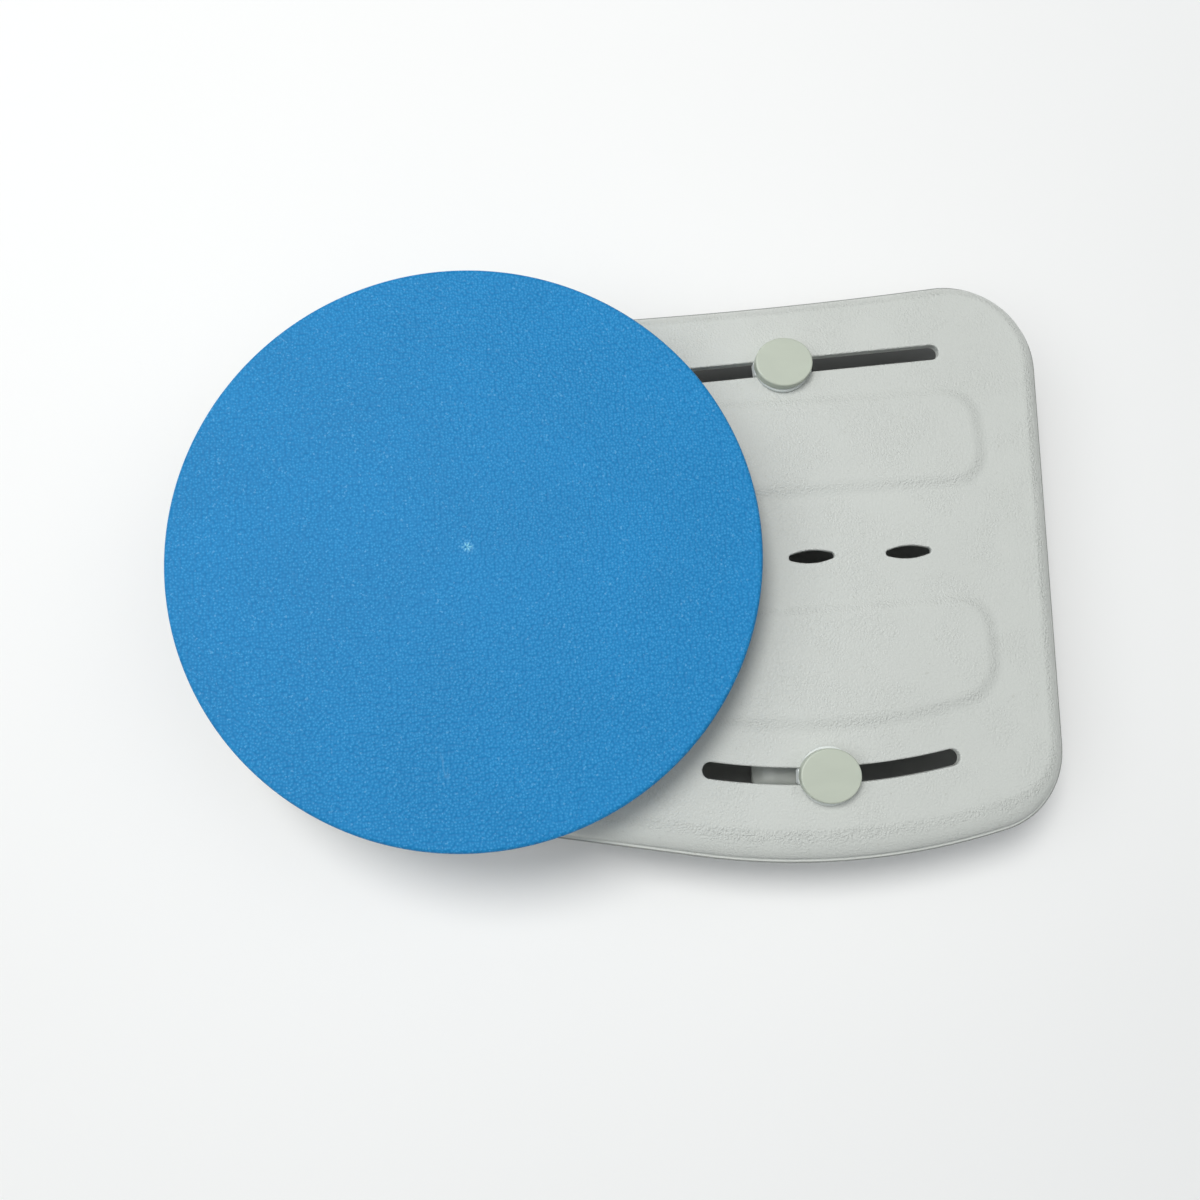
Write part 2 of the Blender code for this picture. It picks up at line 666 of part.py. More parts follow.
def make_turntable_base(parent):
    """The drum on the board: a wall, a top with the glide ring's track, a centre boss, ribs and screw bosses."""
    plate = BASE_TOP - BASE_WALL
    inner, outer = TRACK_RADIUS - TRACK_WIDTH / 2 - GAP, TRACK_RADIUS + TRACK_WIDTH / 2 + GAP
    edge = BASE_WALL / 3
    base = turned("turntable_base", [
        (BASE_RADIUS - edge, BASE_TOP), (BASE_RADIUS, BASE_TOP - edge), (BASE_RADIUS, BASE_BOTTOM),
        (BASE_RADIUS - BASE_WALL, BASE_BOTTOM), (BASE_RADIUS - BASE_WALL, plate - TRACK_DEPTH),
        (inner - BASE_WALL, plate - TRACK_DEPTH), (inner - BASE_WALL, plate),
        (BASE_BOSS_RADIUS, plate), (BASE_BOSS_RADIUS, BASE_BOTTOM), (BASE_BORE_RADIUS, BASE_BOTTOM),
        (BASE_BORE_RADIUS, BASE_TOP), (inner, BASE_TOP), (inner, BASE_TOP - TRACK_DEPTH),
        (outer, BASE_TOP - TRACK_DEPTH), (outer, BASE_TOP),
    ], True, TURNTABLE_STEPS, pale_plastic(), parent)
    ribs = spoke_ribs(BASE_RIB_COUNT, math.pi / BASE_RIB_COUNT, BASE_BOSS_RADIUS - BASE_WALL / 2,
                      BASE_RADIUS - BASE_WALL / 2, RIB_WALL, BASE_BOTTOM + RIB_WALL, plate + BASE_WALL / 3, parent)
    bosses = [tool(cylinder(SCREW_BOSS_RADIUS, BASE_BOTTOM, plate + BASE_WALL / 3, BOSS_STEPS,
                            on_circle(BASE_SCREW_CIRCLE, i, SCREW_COUNT, 0.0)), parent)
              for i in range(SCREW_COUNT)]
    apply_boolean(base, "UNION", ribs + bosses)
    holes = [tool(cylinder(SCREW_HOLE_RADIUS, BASE_BOTTOM - BASE_WALL, BASE_BOTTOM + SCREW_BITE + GAP,
                           SCREW_STEPS, on_circle(BASE_SCREW_CIRCLE, i, SCREW_COUNT, 0.0)), parent)
             for i in range(SCREW_COUNT)]
    apply_boolean(base, "DIFFERENCE", holes)
    return base


def make_glide_ring(parent):
    """The low-friction ring that the seat's hub rides on."""
    inner, outer = TRACK_RADIUS - TRACK_WIDTH / 2, TRACK_RADIUS + TRACK_WIDTH / 2
    top = GLIDE_BOTTOM + GLIDE_THICKNESS
    return turned("glide_ring", [(outer, top), (outer, GLIDE_BOTTOM), (inner, GLIDE_BOTTOM), (inner, top)],
                  True, TURNTABLE_STEPS, low_friction_plastic(), parent)


def make_pivot_bush(parent):
    """The flanged bush that lines the drum's bore."""
    lip_top, lip_bottom = FLANGE_BOTTOM - GAP, BASE_TOP + GAP
    lip_radius = BUSH_RADIUS + BUSH_LIP
    return turned("pivot_bush", [
        (lip_radius, lip_top), (lip_radius, lip_bottom), (BUSH_RADIUS, lip_bottom),
        (BUSH_RADIUS, BASE_BOTTOM), (BUSH_BORE_RADIUS, BASE_BOTTOM), (BUSH_BORE_RADIUS, lip_top),
    ], True, TURNTABLE_STEPS, low_friction_plastic(), parent)


def make_screws(prefix, circle, turn, head_bottom, head_top, tip, parent):
    """Round-headed screws on a circle, driven in from below."""
    profile = [(0.0, tip), (SCREW_RADIUS * 0.6, tip), (SCREW_RADIUS, tip - SCREW_RADIUS),
               (SCREW_RADIUS, head_top), (SCREW_HEAD_RADIUS, head_top),
               (SCREW_HEAD_RADIUS * 0.9, head_bottom), (0.0, head_bottom)]
    for i in range(SCREW_COUNT):
        screw = turned(f"{prefix}_{i + 1}", profile, False, SCREW_STEPS, stainless_steel(), parent)
        screw.location = (*on_circle(circle, i, SCREW_COUNT, turn), 0.0)


def make_hub(parent):
    """The turning hub under the seat: a flange, and a spigot that holds the threaded insert."""
    bore = INSERT_RADIUS + GAP
    bore_top = CENTRE_COLLAR_BOTTOM + INSERT_LENGTH + 2 * GAP
    edge = HUB_FLANGE / 5
    hub = turned("turntable_hub", [
        (0.0, FLANGE_TOP), (HUB_FLANGE_RADIUS - edge, FLANGE_TOP), (HUB_FLANGE_RADIUS, FLANGE_TOP - edge),
        (HUB_FLANGE_RADIUS, FLANGE_BOTTOM), (HUB_RADIUS, FLANGE_BOTTOM), (HUB_RADIUS, CENTRE_COLLAR_BOTTOM),
        (bore, CENTRE_COLLAR_BOTTOM), (bore, bore_top), (0.0, bore_top),
    ], False, TURNTABLE_STEPS, white_plastic(), parent)
    counterbore_top = FLANGE_BOTTOM + SCREW_HEAD_HEIGHT
    cuts = []
    for i in range(SCREW_COUNT):
        place = on_circle(HUB_SCREW_CIRCLE, i, SCREW_COUNT, math.pi / SCREW_COUNT)
        below, above = FLANGE_BOTTOM - HUB_FLANGE, FLANGE_TOP + HUB_FLANGE
        cuts.append(tool(cylinder(SCREW_HEAD_RADIUS + GAP, below, counterbore_top, BOSS_STEPS, place), parent))
        cuts.append(tool(cylinder(SCREW_HOLE_RADIUS, below, above, SCREW_STEPS, place), parent))
    apply_boolean(hub, "DIFFERENCE", cuts)
    return hub


def make_seat_disc(parent):
    """The round seat: a plate with a rounded edge and a rim, stiffened underneath, with bosses for the hub."""
    plate_bottom = DISC_TOP - DISC_PLATE
    rim_bottom = DISC_TOP - DISC_RIM_DEPTH
    profile = [(0.0, DISC_TOP)]
    for step in range(3):
        angle = math.pi / 2 * step / 2
        profile.append((DISC_RADIUS - DISC_EDGE_ROUND * (1 - math.sin(angle)),
                        DISC_TOP - DISC_EDGE_ROUND * (1 - math.cos(angle))))
    profile += [(DISC_RADIUS, rim_bottom), (DISC_RADIUS - DISC_RIM_WALL, rim_bottom),
                (DISC_RADIUS - DISC_RIM_WALL, plate_bottom), (0.0, plate_bottom)]
    disc = turned("seat_disc", profile, False, DISC_STEPS, blue_plastic(), parent)
    into_plate = plate_bottom + DISC_PLATE / 4
    ribs = spoke_ribs(DISC_RIB_COUNT, 0.0, 0.0, DISC_RADIUS - DISC_RIM_WALL / 2, DISC_RIB_WALL,
                      DISC_RIB_BOTTOM, into_plate, parent)
    for radius in (HUB_FLANGE_RADIUS, DISC_RING_RADIUS):
        ring = turned("ring", [
            (radius, into_plate), (radius, DISC_RIB_BOTTOM),
            (radius - DISC_RIB_WALL, DISC_RIB_BOTTOM), (radius - DISC_RIB_WALL, into_plate),
        ], True, TURNTABLE_STEPS, None, parent)
        ribs.append(tool(baked(ring), parent))
    turn = math.pi / SCREW_COUNT
    places = [on_circle(HUB_SCREW_CIRCLE, i, SCREW_COUNT, turn) for i in range(SCREW_COUNT)]
    bosses = [tool(cylinder(SCREW_BOSS_RADIUS, DISC_RIB_BOTTOM, into_plate, BOSS_STEPS, place), parent)
              for place in places]
    apply_boolean(disc, "UNION", ribs + bosses)
    holes = [tool(cylinder(SCREW_HOLE_RADIUS, DISC_RIB_BOTTOM - DISC_PLATE, DISC_RIB_BOTTOM + SCREW_BITE,
                           SCREW_STEPS, place), parent) for place in places]
    apply_boolean(disc, "DIFFERENCE", holes)
    return disc


def make_hub_insert(parent):
    """The threaded insert in the hub's spigot."""
    bottom = CENTRE_COLLAR_BOTTOM + GAP
    top = bottom + INSERT_LENGTH
    bore = PIVOT_BOLT_RADIUS + GAP
    return turned("hub_insert", [(INSERT_RADIUS, top), (INSERT_RADIUS, bottom), (bore, bottom), (bore, top)],
                  True, WASHER_STEPS, brass(), parent)


def make_pivot_washer(parent):
    """The broad washer that holds the hub down under the board's centre collar."""
    top = CENTRE_COLLAR_BOTTOM - GAP
    bore = PIVOT_BOLT_RADIUS + GAP
    return turned("pivot_washer", [
        (PIVOT_WASHER_RADIUS, top), (PIVOT_WASHER_RADIUS, top - PIVOT_WASHER),
        (bore, top - PIVOT_WASHER), (bore, top),
    ], True, CAP_STEPS, stainless_steel(), parent)


def hexagon(across_flats):
    """The corners of a hexagon."""
    radius = across_flats / math.sqrt(3)
    return [(radius * math.cos(math.radians(60 * i)), radius * math.sin(math.radians(60 * i))) for i in range(6)]


def make_pivot_bolt(parent):
    """The bolt up through the washer into the hub's insert."""
    head_top = CENTRE_COLLAR_BOTTOM - GAP - PIVOT_WASHER - GAP
    tip = CENTRE_COLLAR_BOTTOM + INSERT_LENGTH - GAP
    bolt = link("pivot_bolt", prism(hexagon(PIVOT_HEAD_FLATS), head_top - PIVOT_HEAD_HEIGHT, head_top,
                                    "pivot_bolt"), stainless_steel(), parent)
    shank = tool(cylinder(PIVOT_BOLT_RADIUS, head_top - PIVOT_HEAD_HEIGHT / 2, tip, BOSS_STEPS), parent)
    apply_boolean(bolt, "UNION", [shank])
    return bolt


def ellipse(length, width, steps):
    """The points of an ellipse."""
    return [(length / 2 * math.cos(2 * math.pi * i / steps), width / 2 * math.sin(2 * math.pi * i / steps))
            for i in range(steps)]


def cap_mesh():
    """The oval button head, with a rounded rim, a flat top and a pocket for the bolt's head."""
    top = CAP_BOTTOM + CAP_THICKNESS
    levels = ((-CAP_ROUND, top), (-CAP_ROUND * 0.3, top - CAP_ROUND * 0.3), (0.0, top - CAP_ROUND),
              (0.0, CAP_BOTTOM))
    rings = [[(x, y, level) for x, y in ellipse(CAP_LENGTH + 2 * grow, CAP_WIDTH + 2 * grow, CAP_STEPS)]
             for grow, level in levels]
    cap = link("cap", loft(rings, "clamp_cap"), sage_plastic(), None)
    pocket = prism(hexagon(CLAMP_HEAD_FLATS + 2 * GAP), CAP_BOTTOM - CAP_ROUND,
                   CAP_BOTTOM + CLAMP_HEAD_HEIGHT + 2 * GAP)
    apply_boolean(cap, "DIFFERENCE", [tool(pocket, None)])
    return baked(cap)


def guide_mesh(clamp):
    """The round flange on the board's top and the block under it that runs in the slot."""
    radius = None if clamp["centre"] is None else (Vector(clamp["rest"]) - Vector(clamp["centre"])).length
    local = {"rest": (0.0, 0.0), "heading": 0.0, "centre": None if radius is None else (0.0, radius)}
    flange_bottom = BOARD_TOP + GAP
    runner = prism(square_ended_band(local, -GUIDE_LENGTH / 2, GUIDE_LENGTH / 2, SLOT_WIDTH / 2 - GAP,
                                     GUIDE_CORNER), COLLAR_BOTTOM, flange_bottom + GUIDE_FLANGE / 2)
    guide = link("guide", cylinder(GUIDE_FLANGE_RADIUS, flange_bottom, flange_bottom + GUIDE_FLANGE, CAP_STEPS,
                                   name="clamp_guide"), white_plastic(), None)
    apply_boolean(guide, "UNION", [tool(runner, None)])
    hole = cylinder(BOLT_HOLE_RADIUS, COLLAR_BOTTOM - GUIDE_FLANGE, BOARD_TOP + 3 * GUIDE_FLANGE, BOLT_STEPS)
    apply_boolean(guide, "DIFFERENCE", [tool(hole, None)])
    return baked(guide)


def clamp_bolt_mesh():
    """The hexagon bolt whose head is held in the button."""
    head_bottom = CAP_BOTTOM + GAP
    bolt = link("bolt", prism(hexagon(CLAMP_HEAD_FLATS), head_bottom, head_bottom + CLAMP_HEAD_HEIGHT,
                              "clamp_bolt"), stainless_steel(), None)
    shank = cylinder(CLAMP_BOLT_RADIUS, LEVER_BOTTOM - BOLT_SHOW, head_bottom + CLAMP_HEAD_HEIGHT / 2, BOLT_STEPS)
    apply_boolean(bolt, "UNION", [tool(shank, None)])
    return baked(bolt)


def turned_upright(mesh):
    """Turns a mesh drawn with Y across and X up, as (up, across, along), so that it stands on the leg's face."""
    for vertex in mesh.vertices:
        up, across, along = vertex.co
        vertex.co = (along, across, up)
    mesh.flip_normals()
    return mesh


def grip_levels():
    """The lowest and highest level of the rubber grip on the leg."""
    middle = LEG_PLATE_BOTTOM / 2
    return middle - GRIP_HEIGHT / 2, middle + GRIP_HEIGHT / 2


def stud_places():
    """Where the grip's two studs go through the leg, as (level, Y)."""
    low, high = grip_levels()
    return [((low + high) / 2, side * GRIP_STUD_SPACING / 2) for side in (-1, 1)]


def leg_mesh():
    """The moulded bracket: a plate under the board, a leg that hangs inside the bath, and two webs."""
    half = LEG_WIDTH / 2
    plate = rounded([(-LEG_REACH_IN, -half, LEG_CORNER), (LEG_REACH_OUT, -half, LEG_WALL / 2),
                     (LEG_REACH_OUT, half, LEG_WALL / 2), (-LEG_REACH_IN, half, LEG_CORNER)])
    leg = link("leg", prism(grown(plate, 0.0), LEG_PLATE_BOTTOM, LEG_PLATE_TOP, "clamp_leg"),
               white_plastic(), None)
    top = LEG_PLATE_TOP - LEG_PLATE / 2
    sole = rounded([(0.0, -half, LEG_CORNER), (top, -half, LEG_WALL / 4), (top, half, LEG_WALL / 4),
                    (0.0, half, LEG_CORNER)])
    hanging = turned_upright(prism(grown(sole, 0.0), LEG_REACH_OUT - LEG_WALL, LEG_REACH_OUT))
    face = LEG_REACH_OUT - LEG_WALL / 2
    web = [(face, LEG_PLATE_BOTTOM - LEG_WEB_DEPTH), (face, top),
           (face - LEG_WEB_LENGTH, top), (face - LEG_WEB_LENGTH, LEG_PLATE_BOTTOM - LEG_WEB / 2),
           (face - LEG_WEB_LENGTH / 2, LEG_PLATE_BOTTOM - LEG_WEB_DEPTH / 3)]
    webs = []
    for side in (-1, 1):
        outer = side * (half - LEG_WALL / 3)
        inner = outer - side * LEG_WEB
        webs.append(loft([[(x, y, level) for x, level in web] for y in (inner, outer)][::-side], "web"))
    apply_boolean(leg, "UNION", [tool(mesh, None) for mesh in (hanging, *webs)])
    cuts = [cylinder(BOLT_HOLE_RADIUS, LEG_PLATE_BOTTOM - LEG_PLATE, LEG_PLATE_TOP + LEG_PLATE, BOLT_STEPS)]
    for place in stud_places():
        cuts.append(turned_upright(cylinder(GRIP_STUD_RADIUS + GAP, LEG_REACH_OUT - 2 * LEG_WALL,
                                            LEG_REACH_OUT + LEG_WALL, SCREW_STEPS, place)))
    apply_boolean(leg, "DIFFERENCE", [tool(cut, None) for cut in cuts])
    return baked(leg)


def grip_mesh():
    """The rubber grip on the leg's outer face, grooved outside, with two studs through the leg."""
    low, high = grip_levels()
    half = GRIP_WIDTH / 2
    face = LEG_REACH_OUT + GAP
    sheet = rounded([(low, -half, GRIP_CORNER), (high, -half, GRIP_CORNER), (high, half, GRIP_CORNER),
                     (low, half, GRIP_CORNER)])
    grip = link("grip", turned_upright(prism(grown(sheet, 0.0), face, face + GRIP_THICKNESS, "clamp_pad")),
                grey_rubber(), None)
    studs = [turned_upright(cylinder(GRIP_STUD_RADIUS, LEG_REACH_OUT - LEG_WALL - GAP,
                                     face + GRIP_THICKNESS / 2, SCREW_STEPS, place)) for place in stud_places()]
    apply_boolean(grip, "UNION", [tool(stud, None) for stud in studs])
    pitch = GRIP_HEIGHT / (GRIP_GROOVES + 1)
    bottom_of_groove = face + GRIP_THICKNESS - GRIP_GROOVE_DEPTH
    grooves = [block((bottom_of_groove, -GRIP_WIDTH, low + pitch * (i + 1) - GRIP_GROOVE_WIDTH / 2),
                     (face + 2 * GRIP_THICKNESS, GRIP_WIDTH, low + pitch * (i + 1) + GRIP_GROOVE_WIDTH / 2))
               for i in range(GRIP_GROOVES)]
    apply_boolean(grip, "DIFFERENCE", [tool(groove, None) for groove in grooves])
    return baked(grip)


def lever_washer_mesh():
    """The steel washer between the plate and the lever."""
    washer = link("washer", cylinder(LEVER_WASHER_RADIUS, LEVER_WASHER_TOP - LEVER_WASHER, LEVER_WASHER_TOP,
                                     WASHER_STEPS, name="lever_washer"), stainless_steel(), None)
    hole = cylinder(BOLT_HOLE_RADIUS, LEVER_WASHER_TOP - 2 * LEVER_WASHER, LEVER_WASHER_TOP + LEVER_WASHER,
                    BOLT_STEPS)
    apply_boolean(washer, "DIFFERENCE", [tool(hole, None)])
    return baked(washer)


def lever_mesh():
    """The hand lever nut: a hub with an arm that falls away towards its rounded tip."""
    lever = link("lever", cylinder(LEVER_HUB_RADIUS, LEVER_BOTTOM, LEVER_TOP, WASHER_STEPS,
                                   name="clamp_lever"), white_plastic(), None)
    half = LEVER_WIDTH / 2
    fall = LEVER_FALL / 3
    stations = ((0.0, 0.0), (-LEVER_ELBOW, 0.0), (-LEVER_KNEE, fall), (-LEVER_REACH, LEVER_FALL))
    top = LEVER_TOP - LEVER_HUB_HEIGHT / 5
    rings = []
    for x, drop in stations:
        narrow = half * (LEVER_TIP_SHARE if x == -LEVER_REACH else 1.0)
        upper, lower = top - drop, top - LEVER_THICKNESS - fall - drop * 0.6
        rings.append([(x, -narrow, upper), (x, narrow, upper), (x, narrow, lower), (x, -narrow, lower)])
    apply_boolean(lever, "UNION", [tool(loft(rings, "arm"), None)])
    hole = cylinder(BOLT_HOLE_RADIUS, LEVER_BOTTOM - BOLT_SHOW, LEVER_TOP + BOLT_SHOW, BOLT_STEPS)
    apply_boolean(lever, "DIFFERENCE", [tool(hole, None)])
    return baked(lever)


def make_clamps(parent):
    """The four clamps, each carried by an empty on its slot; the arc slots' empties hang from their arc centres."""
    shared = {"clamp_cap": cap_mesh(), "clamp_bolt": clamp_bolt_mesh(), "clamp_leg": leg_mesh(),
              "clamp_pad": grip_mesh(), "lever_washer": lever_washer_mesh(), "clamp_lever": lever_mesh()}
    for mesh in shared.values():
        smooth(mesh)
    for name, clamp in CLAMPS.items():
        rest = Vector(clamp["rest"])
        if clamp["centre"] is None:
            carrier = empty(f"{name}_slide", (*rest, 0.0), parent, clamp["heading"])
        else:
            centre = Vector(clamp["centre"])
            pivot = empty(f"{name}_arc_centre", (*centre, 0.0), parent)
            spoke = rest - centre
            carrier = empty(f"{name}_slide", (*spoke, 0.0), pivot, math.atan2(spoke.y, spoke.x) + math.pi / 2)
        guide = guide_mesh(clamp)
        smooth(guide)
        link(f"clamp_guide_{name}", guide, white_plastic(), carrier)
        facing = 0.0 if clamp["side"] > 0 else math.pi
        for piece, mesh in shared.items():
            obj = link(f"{piece}_{name}", mesh, None, carrier)
            swing = clamp["lever"] if piece == "clamp_lever" else 0.0
            obj.rotation_euler = (0.0, 0.0, facing + swing)


def main():
    clear_scene()
    outline = rounded(board_corners())
    right = max(point.x for point, _ in outline)
    front = min(point.y for point, _ in outline)
    centre_x = (right - DISC_RADIUS) / 2
    centre_y = (front + DISC_RADIUS) / 2
    root = empty("swivel_bath_seat", (-centre_x, -centre_y, 0.0), None)
    seat = empty("swivel_axis", (0.0, 0.0, 0.0), root)
    fixed = [make_board(root, outline), make_turntable_base(root), make_glide_ring(root), make_pivot_bush(root)]
    plate_bottom = BOARD_TOP - BOARD_WALL - GAP
    make_screws("base_screw", BASE_SCREW_CIRCLE, 0.0, plate_bottom - SCREW_HEAD_HEIGHT, plate_bottom,
                BASE_BOTTOM + SCREW_BITE, root)
    swivelling = [make_seat_disc(seat), make_hub(seat), make_hub_insert(seat), make_pivot_washer(seat),
                  make_pivot_bolt(seat)]
    head_top = FLANGE_BOTTOM + SCREW_HEAD_HEIGHT - GAP
    make_screws("hub_screw", HUB_SCREW_CIRCLE, math.pi / SCREW_COUNT, FLANGE_BOTTOM + GAP, head_top,
                DISC_RIB_BOTTOM + SCREW_BITE - GAP, seat)
    make_clamps(root)
    for obj in fixed + swivelling:
        smooth(obj.data)


main()
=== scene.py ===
"""Swivel bath seat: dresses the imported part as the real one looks, on a pale floor under a soft light.

Lengths are in metres. Shapes are drawn in the board's own axes: X along it, away from the round seat, Y towards
its back edge, Z up, with the swivel axis at X = Y = 0. Each finished piece is then moved to the part's place.
"""

import math

import bmesh
import bpy
from mathutils import Matrix, Vector


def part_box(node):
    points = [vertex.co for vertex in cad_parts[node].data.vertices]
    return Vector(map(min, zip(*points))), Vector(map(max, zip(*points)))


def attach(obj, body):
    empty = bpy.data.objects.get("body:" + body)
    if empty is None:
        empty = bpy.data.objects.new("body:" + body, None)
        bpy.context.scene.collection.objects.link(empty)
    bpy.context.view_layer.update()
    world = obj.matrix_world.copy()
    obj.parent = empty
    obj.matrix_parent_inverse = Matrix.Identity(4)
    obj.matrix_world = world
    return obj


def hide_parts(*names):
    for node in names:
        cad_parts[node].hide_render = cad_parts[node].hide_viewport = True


bl_info = {
    "name": "Swivel Bath Seat",
    "version": (1, 0, 0),
    "blender": (4, 5, 0),
    "location": "3D View > Sidebar > Bath Seat",
    "description": "Dresses a swivel bath seat with moulded plastic, rubber and steel pieces",
    "category": "Object",
}

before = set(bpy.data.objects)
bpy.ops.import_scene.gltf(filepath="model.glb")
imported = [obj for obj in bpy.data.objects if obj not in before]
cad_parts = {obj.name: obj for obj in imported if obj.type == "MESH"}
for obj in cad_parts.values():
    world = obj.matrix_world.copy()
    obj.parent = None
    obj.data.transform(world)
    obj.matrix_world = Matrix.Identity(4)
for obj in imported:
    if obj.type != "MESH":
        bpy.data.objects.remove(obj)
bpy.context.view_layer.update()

SEAT_BOX = [Vector(corner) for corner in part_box("seat_disc")]
SWIVEL = (SEAT_BOX[0] + SEAT_BOX[1]) / 2
SEAT_TOP = SEAT_BOX[1].z

# Clearance that the real pieces keep between them
GAP = 0.0003

# Round seat
DISC_RADIUS = (SEAT_BOX[1].x - SEAT_BOX[0].x) / 2
DISC_PLATE = 0.004
DISC_RIM_DEPTH = 0.014
DISC_RIM_WALL = 0.0032
DISC_RIB_WALL = 0.0024
DISC_RIB_COUNT = 12
DISC_RING_RADIUS = 0.145
DISC_STEPS = 288
DISC_EDGE_STEPS = 12
DISC_SOFT = 0.0012

# Turntable
BASE_RADIUS = 0.092
BASE_HEIGHT = 0.0212
BASE_WALL = 0.0035
BASE_BOSS_WALL = 0.005
BASE_RIB_COUNT = 8
TRACK_RADIUS = 0.080
TRACK_WIDTH = 0.008
TRACK_DEPTH = 0.0015
GLIDE_THICKNESS = 0.0031
HUB_FLANGE_RADIUS = 0.090
HUB_FLANGE = 0.004
HUB_RADIUS = 0.020
BUSH_WALL = 0.0045
INSERT_RADIUS = 0.008
INSERT_LENGTH = 0.020
PIVOT_WASHER_RADIUS = 0.029
PIVOT_WASHER = 0.0025
PIVOT_BOLT_RADIUS = 0.005
PIVOT_HEAD_FLATS = 0.017
PIVOT_HEAD_HEIGHT = 0.0064
TURNTABLE_STEPS = 160
TURNTABLE_SOFT = 0.0009

# Screws
SCREW_COUNT = 4
SCREW_RADIUS = 0.0016
SCREW_HEAD_RADIUS = 0.0034
SCREW_HEAD_HEIGHT = 0.0022
SCREW_BITE = 0.008
SCREW_BOSS_WALL = 0.0038
SCREW_BOSS_SOFT = 0.0004
SCREW_HEAD_FLAT_SHARE = 0.55
SCREW_DOME_SHARE = 0.7
SCREW_DOME_STEPS = 6
SCREW_NECK = 0.0008
SCREW_HALF_PITCH = 0.0005
SCREW_CORE_SHARE = 0.78
SCREW_TURN = 1.3
CROSS_ARM_SHARE = 0.56
CROSS_BLADE_SHARE = 0.12
CROSS_DEPTH_SHARE = 0.62
CROSS_START = 0.001
CROSS_TURN = math.radians(25)
BASE_SCREW_CIRCLE = 0.062
HUB_SCREW_CIRCLE = 0.055
SCREW_STEPS = 32

# Board: outline corners, each a place and the radius that rounds it
BOARD_LEFT = -0.1776
BOARD_BACK_LEFT_Y = 0.1737
BOARD_BACK_LEFT_RADIUS = 0.063
BOARD_FRONT_LEFT_RADIUS = 0.078
BOARD_FRONT_RIGHT_X = 0.4083
BOARD_FRONT_RIGHT_RADIUS = 0.062
BOARD_BACK_RIGHT = (0.4416, 0.1975)
BOARD_BACK_RIGHT_RADIUS = 0.0655
BOARD_BACK_WAIST = (0.2504, 0.1821)
BOARD_BACK_WAIST_RADIUS = 3.6
FRONT_CENTRE = (0.2521, 0.2911)
FRONT_EDGE_RADIUS = 0.522
FRONT_SWEEP = math.radians(12.03)

# Board: section
BOARD_HEIGHT = 0.026
BOARD_WALL = 0.003
SHOULDER_DROP = 0.011
SHOULDER_SIDE = 0.013
SHOULDER_FRONT = 0.024
SHOULDER_BACK = 0.010
SHOULDER_STEPS = 20
LEDGE_STEPS = 4
LEDGE_WIDTH = 0.0032
LEDGE_ROUND = 0.0013
LEDGE_FILLET = 0.0012
RIM_ROUND = 0.0006

# Board: pads, holes, collars and ribs
PAD_RISE = 0.0022
PAD_SHOULDER = 0.014
PAD_STEPS = 14
PAD_CORNER = 0.022
PAD_LEFT = 0.122
BACK_PAD_RIGHT = 0.378
BACK_PAD_FRONT_Y = 0.034
BACK_PAD_BACK_Y = 0.102
FRONT_PAD_RIGHT = 0.366
FRONT_PAD_NEAR_CORNER = 0.030
FRONT_PAD_BACK_Y = -0.054
FRONT_PAD_RADIUS = 0.427
SLOT_WIDTH = 0.0116
FLARE_STEPS = 7
COLLAR_WALL = 0.003
COLLAR_DEPTH = 0.0056
RIB_DEPTH = 0.012
RIB_WALL = 0.0024
LANE_MARGIN = 0.001
LENGTHWISE_RIBS = (0.160, 0.066, 0.012, -0.044, -0.100)
CROSSWISE_RIBS = (-0.129, 0.118, 0.205, 0.279, 0.360)
DRAIN_LENGTH = 0.0335
DRAIN_WIDTH = 0.0096
DRAIN_TIP_RADIUS = 0.0024
DRAIN_FLARE = math.radians(15)
DRAIN_CENTRES = ((0.2433, -0.0153), (0.3146, -0.0167))
CENTRE_COLLAR_WALL = 0.012
CENTRE_COLLAR_DEPTH = 0.007

# Clamps
CAP_LENGTH = 0.0426
CAP_WIDTH = 0.0376
CAP_THICKNESS = 0.0068
CAP_STEPS = 120
GUIDE_FLANGE_RADIUS = 0.0204
GUIDE_FLANGE = 0.0025
GUIDE_LENGTH = 0.042
GUIDE_CORNER = 0.0015
GUIDE_EDGE = 0.0005
GUIDE_STEPS = 96
GUIDE_BEND_STEPS = 10
GUIDE_CORNER_STEPS = 6
CLAMP_BOLT_RADIUS = 0.004
CLAMP_HEAD_FLATS = 0.013
CLAMP_HEAD_HEIGHT = 0.0046
THREAD_PITCH = 0.00125
THREAD_DEPTH = 0.0005
HEAD_STEPS = 72
HEAD_FACE_SHARE = 0.97
HEAD_TURN_OFF_SHARE = 0.55
HEAD_CLEAR_SHARE = 1.01
LEG_DROP = 0.050
LEG_WIDTH = 0.048
LEG_PLATE = 0.005
LEG_WALL = 0.005
LEG_REACH_IN = 0.0185
LEG_REACH_OUT = 0.024
LEG_CORNER = 0.009
LEG_WEB = 0.0028
LEG_WEB_DEPTH = 0.036
LEG_WEB_LENGTH = 0.013
LEG_WEB_STEPS = 12
GRIP_WIDTH = 0.042
GRIP_HEIGHT = 0.036
GRIP_THICKNESS = 0.004
GRIP_CORNER = 0.006
GRIP_GROOVES = 5
GRIP_GROOVE_WIDTH = 0.0024
GRIP_GROOVE_DEPTH = 0.0012
GRIP_STUD_RADIUS = 0.003
GRIP_STUD_SPACING = 0.022
LEVER_WASHER_RADIUS = 0.010
LEVER_WASHER = 0.0015
WASHER_SOFT = 0.0005
WASHER_STEPS = 96
LEVER_HUB_RADIUS = 0.0105
LEVER_HUB_HEIGHT = 0.015
LEVER_REACH = 0.0475
LEVER_KNEE = 0.042
LEVER_ELBOW = 0.033
LEVER_WIDTH = 0.017
